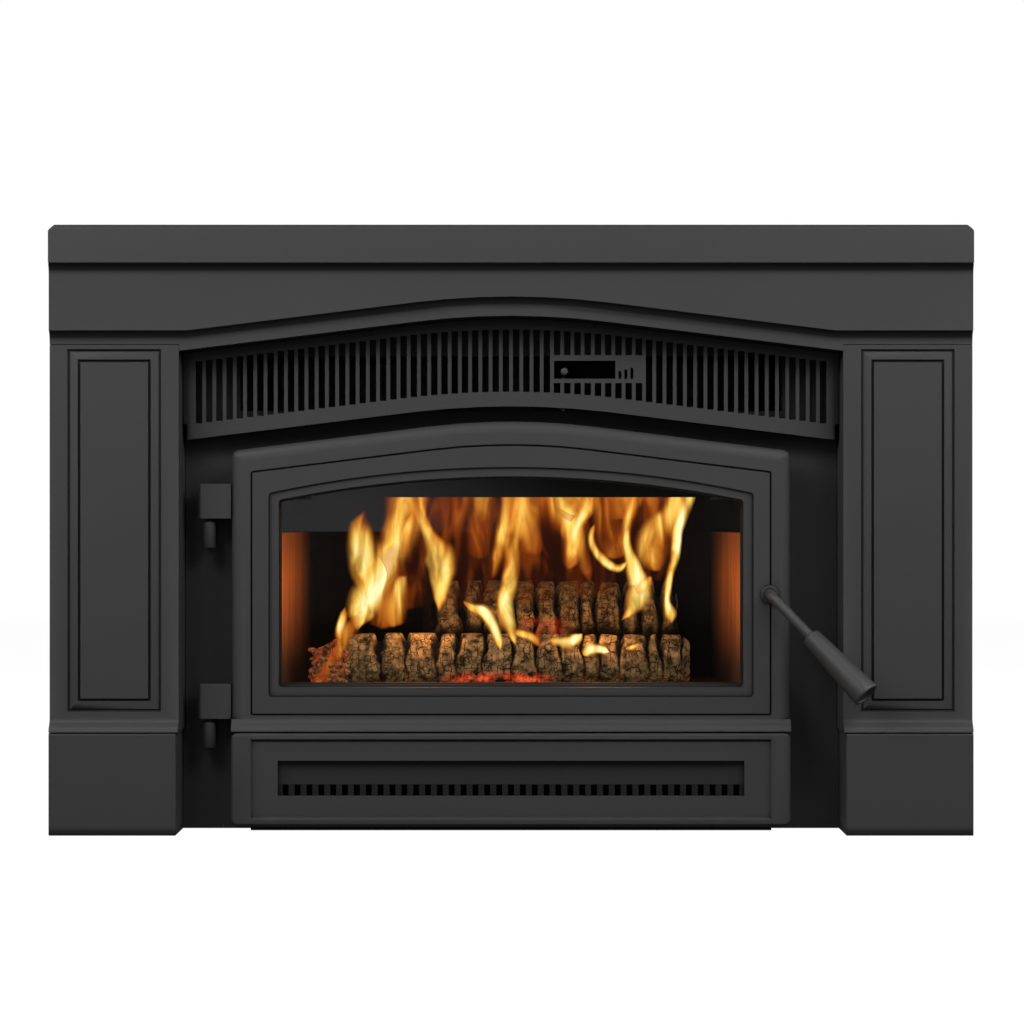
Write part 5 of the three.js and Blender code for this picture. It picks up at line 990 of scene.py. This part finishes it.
def grow_embers(name, count, place, spread_over, size, finish):
    """Embers strewn over a box about a place, both in millimetres."""
    sheet = NodeSheet(name)
    count = sheet.input("Count", count, "NodeSocketInt")
    extent = sheet.input("Spread", tuple(v / 1000 for v in spread_over), "NodeSocketVector")
    grain = sheet.input("Ember size", size.ember / 1000)
    middle = sheet.input("Middle", tuple(v / 1000 for v in place), "NodeSocketVector")
    line = sheet.add("GeometryNodeMeshLine", {"mode": "OFFSET"}, {"Count": count, "Offset": (0, 0, 0)})
    spread = sheet.add("FunctionNodeRandomValue", {"data_type": "FLOAT_VECTOR"},
                       {0: (-0.5, -0.5, 0.0), 1: (0.5, 0.5, 1.0), "Seed": 11})
    spot = sheet.add("ShaderNodeVectorMath", {"operation": "MULTIPLY_ADD"},
                     {0: spread.outputs[0], 1: extent, 2: middle})
    placed = sheet.add("GeometryNodeSetPosition", None, {0: line.outputs[0], "Position": spot.outputs[0]})
    warmth = sheet.add("FunctionNodeRandomValue", {"data_type": "FLOAT"}, {2: 0.0, 3: 0.36, "Seed": 5})
    warm = sheet.add("GeometryNodeStoreNamedAttribute", {"data_type": "FLOAT", "domain": "POINT"},
                     {0: placed.outputs[0], "Name": "warmth", "Value": warmth.outputs[1]})
    lump = sheet.add("GeometryNodeMeshIcoSphere", None, {"Radius": grain, "Subdivisions": 2})
    rough = sheet.add("ShaderNodeTexNoise", None, {"Scale": 260.0, "Detail": 1.0})
    dent = sheet.add("ShaderNodeMath", {"operation": "MULTIPLY_ADD"},
                     {0: rough.outputs[0], 1: 0.9, 2: 0.45})
    place = sheet.add("GeometryNodeInputPosition")
    form = sheet.add("ShaderNodeVectorMath", {"operation": "SCALE"},
                     {0: place.outputs[0], "Scale": dent.outputs[0]})
    shaped = sheet.add("GeometryNodeSetPosition", None, {0: lump.outputs[0], "Position": form.outputs[0]})
    size_spread = sheet.add("FunctionNodeRandomValue", {"data_type": "FLOAT_VECTOR"},
                            {0: (0.35, 0.3, 0.25), 1: (0.9, 0.75, 0.55), "Seed": 3})
    turn = sheet.add("FunctionNodeRandomValue", {"data_type": "FLOAT_VECTOR"},
                     {0: (-0.4, -0.4, -3.1), 1: (0.4, 0.4, 3.1), "Seed": 2})
    chunks = sheet.add("GeometryNodeInstanceOnPoints", None, {
        0: warm.outputs[0], "Instance": shaped.outputs[0], "Rotation": turn.outputs[0],
        "Scale": size_spread.outputs[0]})
    return sheet.grow(name, chunks.outputs[0], finish, 50)


# Height in millimetres at which the lip of the airwash deflector hides the flames
FLAME_TOP = 416.5

# Flame tongues from foot to tip: lean of the core, then (x, y, z, width, heat) in millimetres; the last
# five are wide thin sheets of smoke-brown flame behind the bright ones
TONGUES = (
    (0.15, (-197, 118, 240, 18, 0.75), (-194, 130, 263, 31, 0.95), (-187, 141, 282, 36, 1.0),
     (-172, 153, 306, 31, 1.0), (-160, 165, 334, 34, 0.9), (-150, 177, 360, 39, 0.72),
     (-141, 188, 387, 39, 0.62), (-139, 200, 416, 39, 0.5)),
    (-0.1, (-180, 150, 283, 10, 0.6), (-188, 155, 309, 26, 0.85), (-191, 160, 332, 31, 1.0),
     (-193, 165, 355, 28, 0.9), (-194, 170, 376, 23, 0.62), (-189, 175, 396, 10, 0.3)),
    (0.0, (-221, 112, 228, 10, 0.5), (-218, 114, 242, 12, 0.95), (-215, 116, 256, 10, 0.85),
     (-211, 118, 271, 5, 0.4)),
    (0.2, (-249, 104, 170, 13, 0.3), (-236, 106, 193, 18, 0.42), (-221, 108, 218, 21, 0.5),
     (-206, 110, 243, 18, 0.6), (-193, 112, 264, 13, 0.5)),
    (0.1, (-153, 130, 243, 23, 0.5), (-151, 135, 263, 26, 0.66), (-146, 140, 283, 21, 0.85),
     (-141, 145, 301, 15, 0.95), (-133, 150, 311, 8, 0.5)),
    (0.0, (-166, 140, 240, 39, 0.35), (-164, 146, 268, 44, 0.42), (-162, 152, 293, 36, 0.38),
     (-157, 159, 321, 34, 0.4), (-149, 165, 355, 28, 0.32)),
    (0.0, (-141, 160, 334, 10, 0.3), (-137, 170, 355, 13, 0.55), (-132, 180, 376, 12, 0.72),
     (-128, 190, 394, 6, 0.45)),
    (-0.25, (-93, 150, 262, 8, 0.4), (-91, 156, 280, 15, 0.62), (-89, 162, 301, 23, 0.82),
     (-87, 169, 321, 31, 0.95), (-91, 175, 339, 31, 0.92), (-101, 181, 355, 18, 0.75),
     (-111, 188, 376, 13, 0.7), (-117, 194, 396, 15, 0.62), (-114, 200, 416, 18, 0.5)),
    (0.0, (-93, 190, 334, 8, 0.2), (-84, 197, 360, 13, 0.3), (-78, 203, 381, 13, 0.32),
     (-75, 210, 416, 15, 0.25)),
    (0.0, (-41, 205, 328, 28, 0.16), (-41, 210, 355, 34, 0.26), (-41, 215, 378, 28, 0.42),
     (-40, 220, 396, 21, 0.66), (-39, 225, 416, 28, 0.6)),
    (0.3, (7, 112, 219, 6, 0.5), (-1, 123, 238, 12, 0.9), (-8, 134, 258, 18, 0.95),
     (-10, 145, 278, 18, 0.9), (-5, 156, 298, 18, 0.85), (-1, 167, 321, 18, 0.72), (-2, 178, 344, 18, 0.66),
     (3, 189, 376, 21, 0.66), (8, 200, 416, 34, 0.55)),
    (0.2, (-13, 106, 215, 6, 0.6), (-19, 113, 232, 10, 0.95), (-25, 120, 248, 13, 1.0),
     (-35, 126, 262, 15, 0.95), (-51, 133, 268, 10, 0.8), (-62, 140, 278, 8, 0.5)),
    (0.1, (-25, 180, 303, 10, 0.3), (-19, 188, 334, 15, 0.55), (-11, 195, 360, 18, 0.66),
     (-3, 202, 386, 21, 0.62), (1, 210, 416, 28, 0.5)),
    (0.35, (74, 190, 316, 13, 0.3), (76, 195, 334, 21, 0.55), (78, 200, 355, 26, 0.74),
     (69, 205, 376, 31, 0.8), (58, 210, 394, 28, 0.74), (50, 215, 416, 28, 0.62)),
    (-0.2, (32, 200, 334, 23, 0.18), (29, 205, 355, 34, 0.3), (24, 210, 375, 39, 0.46),
     (29, 215, 399, 44, 0.6), (32, 220, 416, 46, 0.55)),
    (-0.3, (103, 170, 298, 8, 0.3), (98, 175, 321, 15, 0.55), (92, 180, 344, 18, 0.74),
     (88, 185, 363, 18, 0.88), (93, 190, 381, 15, 0.92), (100, 195, 396, 18, 0.6),
     (105, 200, 416, 18, 0.4)),
    (0.3, (109, 165, 376, 6, 0.62), (105, 165, 358, 8, 0.8), (112, 165, 339, 9, 0.86),
     (126, 165, 325, 10, 0.9), (140, 165, 320, 9, 0.8), (152, 165, 329, 8, 0.6)),
    (0.0, (135, 170, 329, 26, 0.34), (133, 176, 350, 34, 0.42), (128, 182, 370, 28, 0.4),
     (123, 189, 394, 23, 0.42), (121, 195, 416, 26, 0.34)),
    (0.15, (140, 120, 252, 6, 0.5), (152, 129, 264, 13, 0.9), (161, 139, 281, 26, 1.0),
     (165, 148, 296, 26, 1.0), (159, 158, 316, 18, 0.92), (152, 167, 339, 12, 0.88),
     (149, 176, 360, 10, 0.84), (151, 186, 383, 13, 0.7), (165, 195, 416, 21, 0.5)),
    (0.0, (159, 125, 289, 13, 0.6), (171, 128, 298, 13, 0.95), (180, 130, 309, 6, 0.6)),
    (0.35, (205, 118, 248, 15, 0.7), (202, 129, 263, 13, 0.95), (199, 140, 278, 8, 0.86),
     (202, 151, 301, 9, 0.84), (209, 162, 327, 10, 0.88), (213, 173, 350, 12, 0.92),
     (216, 184, 376, 14, 0.95), (226, 195, 416, 23, 0.8)),
    (-0.15, (192, 165, 314, 13, 0.34), (186, 170, 329, 31, 0.6), (185, 175, 350, 39, 0.62),
     (195, 180, 370, 34, 0.66), (209, 185, 391, 23, 0.72), (217, 190, 416, 26, 0.6)),
    (0.0, (181, 200, 368, 26, 0.2), (184, 210, 389, 39, 0.3), (190, 220, 416, 44, 0.32)),
    (0.0, (144, 205, 381, 34, 0.25), (142, 215, 402, 46, 0.34), (140, 225, 416, 52, 0.34)),
    (0.0, (71, 205, 381, 34, 0.3), (82, 215, 399, 39, 0.42), (87, 225, 416, 44, 0.42)),
    (0.0, (-83, 205, 355, 26, 0.16), (-78, 215, 386, 44, 0.24), (-70, 225, 416, 57, 0.32)),
    (0.0, (49, 104, 228, 8, 0.7), (62, 104, 226, 10, 1.0), (74, 105, 226, 12, 1.0),
     (85, 106, 231, 10, 0.95), (91, 106, 237, 5, 0.6)),
    (0.0, (92, 103, 208, 8, 0.7), (101, 104, 216, 13, 1.0), (114, 104, 216, 10, 0.98),
     (125, 105, 212, 9, 0.8)),
    (0.0, (3, 104, 238, 8, 0.5), (16, 105, 235, 10, 0.72), (29, 105, 229, 10, 0.6), (40, 106, 217, 6, 0.3)),
    (0.0, (146, 104, 217, 4, 0.6), (155, 105, 219, 6, 0.8), (164, 106, 223, 4, 0.5)),
    (0.0, (-60, 215, 262, 60, 0.04), (-58, 218, 300, 84, 0.07), (-52, 222, 350, 92, 0.11),
     (-45, 226, 416, 100, 0.17)),
    (0.0, (20, 216, 270, 60, 0.05), (24, 219, 310, 76, 0.08), (30, 223, 360, 84, 0.12),
     (36, 227, 416, 96, 0.18)),
    (0.0, (96, 217, 276, 60, 0.06), (100, 220, 316, 80, 0.1), (108, 224, 362, 90, 0.14),
     (112, 228, 416, 96, 0.2)),
    (0.0, (168, 218, 300, 40, 0.05), (174, 221, 330, 60, 0.09), (178, 225, 370, 70, 0.12),
     (180, 229, 416, 80, 0.18)),
    (0.0, (-136, 214, 262, 60, 0.08), (-134, 217, 306, 76, 0.12), (-126, 221, 356, 80, 0.14),
     (-120, 225, 416, 84, 0.18)),
)


def spline(values, t):
    """Value of a smooth curve through a list of tuples at t from 0 to 1."""
    place = t * (len(values) - 1)
    i = min(int(place), len(values) - 2)
    f = place - i
    before, here = values[max(i - 1, 0)], values[i]
    there, after = values[i + 1], values[min(i + 2, len(values) - 1)]
    return tuple(
        0.5 * (2 * b + (c - a) * f + (2 * a - 5 * b + 4 * c - d) * f ** 2
               + (3 * b - a - 3 * c + d) * f ** 3)
        for a, b, c, d in zip(before, here, there, after)
    )


def sheet_faces(count, rows):
    """Faces of a sheet of rows of points that don't close on themselves."""
    return [(r * count + i, r * count + i + 1, (r + 1) * count + i + 1, (r + 1) * count + i)
            for r in range(rows - 1) for i in range(count - 1)]


def grow_flame(name, row, finish, number):
    """One tongue of flame: a thin curved ribbon that fades at its sides and its ends."""
    lean, knots = row[0], row[1:]
    along, across = ((56, 14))
    points, heats, veils = [], [], []
    top = knots[-1][2] >= FLAME_TOP - 1.5  # such a tongue runs on behind the lip of the deflector
    for i in range(along + 1):
        t = i / along
        x, y, z, width, heat = spline(knots, t)
        x1, _, z1, _, _ = spline(knots, min(t + 0.01, 1))
        x0, _, z0, _, _ = spline(knots, max(t - 0.01, 0))
        run = Vector((x1 - x0, 0, z1 - z0)).normalized()
        side = Vector((run.z, 0, -run.x))
        half = 0.5 * max(width, 1.5) * (0.2 + 0.8 * blend_share(t, 0, 0.12))
        if not top:
            half *= 0.12 + 0.88 * (1 - blend_share(t, 0.78, 1.0))
        ends = blend_share(t, 0, 0.07) * (1 if top else 1 - blend_share(t, 0.86, 1.0))
        for k in range(across + 1):
            u = 2 * k / across - 1
            flutter = 1.6 * noise.noise(Vector((z / 22, u * 1.5, number * 3.1)))
            spot = Vector((x, y, z)) + side * (half * u * 1.5 + flutter)
            spot.y += 5 * u * u + 3 * noise.noise(Vector((z / 40, u, number)))
            points.append((spot.x, spot.y, min(spot.z, FLAME_TOP)))
            core = max(0.0, 1 - abs(u - lean) ** 1.6)
            heats.append(max(0.0, heat * (0.35 + 0.65 * core)))
            veils.append(ends * (1 - blend_share(abs(u - 0.4 * lean), 0.22, 0.95)) * min(1, 0.2 + heat))
    faces = sheet_faces(across + 1, along + 1)
    return make_piece(name, points, faces, finish, 180, {"warmth": heats, "veil": veils})


def build_fire(sizes, finishes):
    """Two charred logs, the embers under them and the flames above."""
    s = millimetres(sizes)
    bark = finishes["charred_wood"]

    def front_glow(x, height, crack):
        """Warmth and soot of the front log: red hot along the middle of its foot."""
        low = 1 - blend_share(height, 9, 24)
        middle = 1 - blend_share(abs(x + 17), 45, 78)
        left = 1 - blend_share(x, s.front_left + 24, s.front_left + 48)
        return max(low * middle, 0.45 * left, 0.2 * crack * low), 0.0

    def rear_glow(x, height, _crack):
        """Warmth and soot of the rear log: black below, ash on the tips of its blocks."""
        rough = 9 * noise.noise(Vector((x / 9, height / 12, 3.3)))
        black = 1 - blend_share(height + rough, 66, 84)
        end = 1 - blend_share(x + rough, -100, -84)
        spot = 1 - blend_share(abs(x - 40), 12, 50)
        return 0.3 * spot * (1 - blend_share(height, 78, 88)), max(black, end) * (1 - 0.6 * spot)

    front = grow_log("front_log_charred", s.front_left, s.front_right, s.front_radius, s.front_y, s, bark,
                     2.3, 5.6, 11, 1.0, front_glow)
    rear = grow_log("rear_log_charred", s.rear_left, s.rear_right, s.rear_radius, s.rear_y, s, bark,
                    7.9, 9.0, 20, 0.0, rear_glow)
    settle(front, "root", ["log_front"])
    settle(rear, "root", ["log_rear"])
    for name, count, place, spread in (
            ("ember_bed", s.embers, (-12, 235, s.hearth + 4), (480, 170, 5)),
            ("ember_heap", s.heap, (-231, 136, s.hearth + 3), (46, 62, 46))):
        settle(grow_embers(name, count, place, spread, s, bark), "root")
    for number, row in enumerate(TONGUES):
        tongue = grow_flame("flame_%02d" % number, row, finishes["flame"], number)
        tongue.visible_diffuse = False
        settle(tongue, "root")


# ---------------------------------------------------------------- finishes on the CAD nodes that stay


NODE_FINISHES = {
    "steel_paint": ("mouth_frame", "ember_rail", "glass_retainer", "base_pan"),
    "front_plate": ("body_front_plate",),
    "inner_plate": ("grille_carrier",),
    "intake": ("intake_comb",),
    "jacket": ("convection_jacket",),
    "ashen": ("firebox_shell", "airwash_deflector"),
    "galvanised": (
        "blower_motor", "blower_wheel_left", "blower_wheel_right", "blower_scroll_left",
        "blower_scroll_right",
    ),
    "ground_steel": ("air_damper_plate", "latch_cam", "latch_strike", "blower_shaft"),
    "stainless": ("air_rail_left", "air_rail_right", "air_tube_front", "air_tube_middle", "air_tube_rear"),
    "firebrick": (
        "brick_left_front", "brick_left_rear", "brick_right_front", "brick_right_rear",
        "brick_back_left", "brick_back_centre", "brick_back_right",
        "brick_floor_left", "brick_floor_centre", "brick_floor_right",
    ),
    "board": ("baffle_left", "baffle_right"),
    "rope": ("glass_gasket", "door_gasket"),
    "glass": ("door_glass",),
    "plastic": ("cord_gland",),
}


def dress_nodes(finishes):
    """Puts a finish on every CAD node that stays visible."""
    for finish, nodes in NODE_FINISHES.items():
        for node in nodes:
            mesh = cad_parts[node].data
            mesh.materials.clear()
            mesh.materials.append(finishes[finish])


# ---------------------------------------------------------------- colours


def colour(name, description, value):
    """A colour that the user can change, from an sRGB hex value."""
    return bpy.props.FloatVectorProperty(
        name=name, description=description, default=linear(value), subtype="COLOR", size=4, min=0, max=1
    )


class Colours(bpy.types.PropertyGroup):
    """Colours of the finishes and of the fire."""

    casting_dark: colour("Casting, dark", "Stove paint on the castings where it is darkest", "#333333")
    casting_light: colour("Casting, light", "Stove paint on the castings where it is lightest", "#383838")
    plate_dark: colour("Plate, dark", "Stove paint on the plates where it is darkest", "#292929")
    plate_light: colour("Plate, light", "Stove paint on the plates where it is lightest", "#303030")
    brick: colour("Firebrick", "Clean firebrick near the mouth", "#3a2a1e")
    soot: colour("Soot", "Soot on the firebrick at the back", "#080706")
    # painted fire light: emission colour of the glow on the side bricks
    brick_glow: colour("Glow on the brick", "Light of the fire on the side bricks", "#b8561a")
    # painted light: emission colour that makes the steel inside the firebox glow grey
    ash: colour("Ash", "Ash dust on the steel inside the firebox", "#2c2c2d")
    pane: colour("Glass tint", "Tint of the glass pane", "#16130f")
    char_dark: colour("Char, dark", "Burnt wood where it is darkest", "#241c12")
    char_light: colour("Char, light", "Ash dusted over the blocks of char", "#8a7552")
    ember: colour("Ember", "Glow of the embers", "#a01d06")
    # painted fire light: emission colour laid over the char of the logs
    fire_light: colour("Fire light", "Light of the fire on the char", "#a0907a")
    flame_edge: colour("Flame, edge", "Flame where it is thinnest", "#4a1403")
    flame_low: colour("Flame, outside", "Outside of a flame", "#a4480e")
    flame_middle: colour("Flame, body", "Body of a flame", "#e0902e")
    flame_high: colour("Flame, bright", "Bright part of a flame", "#fcd060")
    flame_core: colour("Flame, core", "Core of a flame", "#fff2b4")


FINISHES = {}


def make_finishes(look):
    """Every finish of the insert, made once and shared by the builders."""
    if not FINISHES:
        dark, light = look.plate_dark, look.plate_light
        FINISHES.update(
            cast_iron=cast_iron_paint(look), handle=handle_paint(look),
            steel_paint=steel_paint("matt_stove_paint_on_plate", dark, light),
            # painted shade: the grille carrier behind the grille is made near black; the sealant bead has
            # this black of its own
            inner_plate=steel_paint("matt_black_inner_plate", linear("#0a0a0a"), linear("#111111")),
            # painted shade: the plate is darkened behind the warm-air outlet, and the intake sheet in its
            # teeth and under the top edge of the slot
            front_plate=steel_paint("front_plate_painted_dark_behind_the_outlet", dark, light,
                                    [(470, 484, 1.0, 0.25)]),
            intake=steel_paint("intake_sheet_with_painted_shade", dark, light,
                               [(57.8, 59.2, 0.12, 0.6), (68, 87, 1.0, 0.25)]),
            ashen=ashen_steel(look), ground_steel=ground_steel(), jacket=jacket_sheet(),
            # painted shade: the blower's zinc is made dull and nearly black, as if in shade
            galvanised=galvanised_sheet("galvanised_sheet_darkened_as_painted_shade", "#141517", "#1f2123", 0.0),
            stainless=tempered_stainless(), firebrick=firebrick(look), board=baffle_board(),
            rope=braided_rope(), glass=ceramic_glass(look), plastic=moulded_plastic(),
            charred_wood=charred_wood(look), flame=flame(look),
        )
    return FINISHES


# ---------------------------------------------------------------- studio


def amount(name, description, value):
    """A plain number that the user can change."""
    return bpy.props.FloatProperty(name=name, description=description, default=value)


class StageSizes(bpy.types.PropertyGroup):
    """Studio around the insert."""

    camera_distance: length("Camera distance", "Distance of the camera in front of the zero plane", 3693)
    camera_height: length("Camera height", "Height of the camera above the floor", 391.2)
    camera_side: length("Camera side", "Shift of the camera to the right", 1.2)
    floor: length("Floor", "Half width of the paper on the floor", 7000)
    lens: amount("Lens", "Focal length in millimetres", 104.9)
    key: amount("Key light", "Power in watts of the two soft lights above", 84)
    fill: amount("Fill light", "Power in watts of the frontal soft light", 9)
    back: amount("Back light", "Power in watts of the light behind", 34)
    side: amount("Side lights", "Power in watts of each side light", 22)
    fire: amount("Fire light", "Power in watts of each light in the fire", 0.7)
    air: amount("Room light", "Strength of the even light", 0.05)


def area_light(name, place, target, width, height, power, tint=(1, 1, 1)):
    """A soft rectangular lamp in metres, aimed at a point."""
    lamp = bpy.data.lights.new(name, "AREA")
    lamp.shape, lamp.size, lamp.size_y = "RECTANGLE", width, height
    lamp.energy, lamp.color = power, tint
    holder = bpy.data.objects.new(name, lamp)
    holder.location = place
    holder.rotation_euler = (Vector(target) - Vector(place)).to_track_quat("-Z", "Y").to_euler()
    bpy.context.scene.collection.objects.link(holder)


def build_stage(sizes):
    """Pale paper on the floor, soft studio lamps, the fire's own light, an even room and the camera."""
    scene = bpy.context.scene
    half, low = sizes.floor * 1000, -0.4  # the paper lies just below the insert
    corners = [(-half, -half, low), (half, -half, low), (half, half, low), (-half, half, low)]
    paper = make_piece("paper_on_the_floor", corners, [(0, 1, 2, 3)], studio_paper())

    for side in (-1, 1):
        area_light("key_light", (1.5 * side, -1.35, 1.7), (0.35 * side, 0.0, 0.5), 2.2, 0.8, sizes.key / 2)
    area_light("fill_light", (0.0, -4.2, 0.9), (0.0, 0.0, 0.4), 3.0, 1.6, sizes.fill)
    area_light("back_light", (0.0, 3.0, 1.9), (0.0, 0.3, 0.4), 3.0, 1.2, sizes.back)
    for side in (-1, 1):
        area_light("side_light", (3.0 * side, 0.7, 1.2), (0.0, 0.2, 0.4), 1.2, 1.2, sizes.side)
        glow = bpy.data.lights.new("fire_glow", "POINT")
        glow.energy, glow.color, glow.shadow_soft_size = sizes.fire, (1.0, 0.42, 0.12), 0.04
        holder = bpy.data.objects.new("fire_glow", glow)
        holder.location = (0.11 * side, 0.10, 0.27)
        scene.collection.objects.link(holder)

    world = bpy.data.worlds.new("even_room_light")
    world.use_nodes = True
    air = world.node_tree.nodes["Background"].inputs
    air["Color"].default_value = WHITE
    world.node_tree.links.new(seen_share(world.node_tree, 1.0, sizes.air), air["Strength"])
    scene.world = world

    camera = bpy.data.cameras.new("camera")
    camera.lens, camera.sensor_width = sizes.lens, 36
    camera.clip_start, camera.clip_end = 0.05, 50
    holder = bpy.data.objects.new("camera", camera)
    holder.location = (sizes.camera_side, -sizes.camera_distance, sizes.camera_height)
    holder.rotation_euler = (math.pi / 2, 0, 0)
    scene.collection.objects.link(holder)
    scene.camera = holder
    scene.view_settings.view_transform = "Standard"


# ---------------------------------------------------------------- operators and panel


class INSERT_OT_castings(bpy.types.Operator):
    """Build the cast surround, grille, door frame, hinges and lower panel"""

    bl_idname, bl_label = "insert.castings", "Castings"
    bl_options = {"REGISTER", "UNDO"}

    def execute(self, context):
        build_castings(make_finishes(context.scene.insert_colours))
        return {"FINISHED"}


class INSERT_OT_handle(bpy.types.Operator):
    """Build the handle with its grip and bush"""

    bl_idname, bl_label = "insert.handle", "Handle"
    bl_options = {"REGISTER", "UNDO"}

    def execute(self, context):
        build_handle(context.scene.insert_handle, make_finishes(context.scene.insert_colours))
        return {"FINISHED"}


class INSERT_OT_round_parts(bpy.types.Operator):
    """Build the smooth pins, pipes and the air control"""

    bl_idname, bl_label = "insert.round_parts", "Round parts"
    bl_options = {"REGISTER", "UNDO"}

    def execute(self, context):
        build_round_parts(context.scene.insert_round, make_finishes(context.scene.insert_colours))
        return {"FINISHED"}


class INSERT_OT_fixings(bpy.types.Operator):
    """Build the screws and the sealant of the convection jacket"""

    bl_idname, bl_label = "insert.fixings", "Fixings"
    bl_options = {"REGISTER", "UNDO"}

    def execute(self, context):
        build_fixings(context.scene.insert_screws, make_finishes(context.scene.insert_colours))
        return {"FINISHED"}


class INSERT_OT_fire(bpy.types.Operator):
    """Build the logs, embers and flames"""

    bl_idname, bl_label = "insert.fire", "Fire"
    bl_options = {"REGISTER", "UNDO"}

    def execute(self, context):
        build_fire(context.scene.insert_fire, make_finishes(context.scene.insert_colours))
        return {"FINISHED"}


class INSERT_OT_finishes(bpy.types.Operator):
    """Put a finish on every CAD node that stays visible"""

    bl_idname, bl_label = "insert.finishes", "Finishes"
    bl_options = {"REGISTER", "UNDO"}

    def execute(self, context):
        dress_nodes(make_finishes(context.scene.insert_colours))
        return {"FINISHED"}


class INSERT_OT_stage(bpy.types.Operator):
    """Build the studio, its lamps and the camera"""

    bl_idname, bl_label = "insert.stage", "Studio"
    bl_options = {"REGISTER", "UNDO"}

    def execute(self, context):
        build_stage(context.scene.insert_stage)
        return {"FINISHED"}


OPERATORS = (
    INSERT_OT_castings, INSERT_OT_handle, INSERT_OT_round_parts, INSERT_OT_fixings, INSERT_OT_fire,
    INSERT_OT_finishes, INSERT_OT_stage,
)
GROUPS = {
    "insert_colours": Colours, "insert_handle": HandleSizes, "insert_round": RoundSizes,
    "insert_screws": ScrewSizes, "insert_fire": FireSizes, "insert_stage": StageSizes,
}


class INSERT_PT_panel(bpy.types.Panel):
    """Panel in the sidebar of the 3D view"""

    bl_idname, bl_label = "INSERT_PT_panel", "Fireplace insert"
    bl_space_type, bl_region_type, bl_category = "VIEW_3D", "UI", "Fireplace"

    def draw(self, context):
        """Lists the building steps and every size and colour."""
        for operator in OPERATORS:
            self.layout.operator(operator.bl_idname)
        for key, group in GROUPS.items():
            box = self.layout.box()
            box.label(text=group.__doc__)
            for name in group.__annotations__:
                box.prop(getattr(context.scene, key), name)


def register():
    """Registers the groups, the operators and the panel."""
    for item in (*GROUPS.values(), *OPERATORS, INSERT_PT_panel):
        bpy.utils.register_class(item)
    for key, group in GROUPS.items():
        setattr(bpy.types.Scene, key, bpy.props.PointerProperty(type=group))


def unregister():
    """Removes everything that register added."""
    for key in GROUPS:
        delattr(bpy.types.Scene, key)
    for item in reversed((*GROUPS.values(), *OPERATORS, INSERT_PT_panel)):
        bpy.utils.unregister_class(item)


def main():
    """Registers the tools and builds the insert and its studio."""
    register()
    for operator in OPERATORS:
        getattr(bpy.ops.insert, operator.bl_idname.split(".")[1])()


if __name__ == "__main__":
    main()
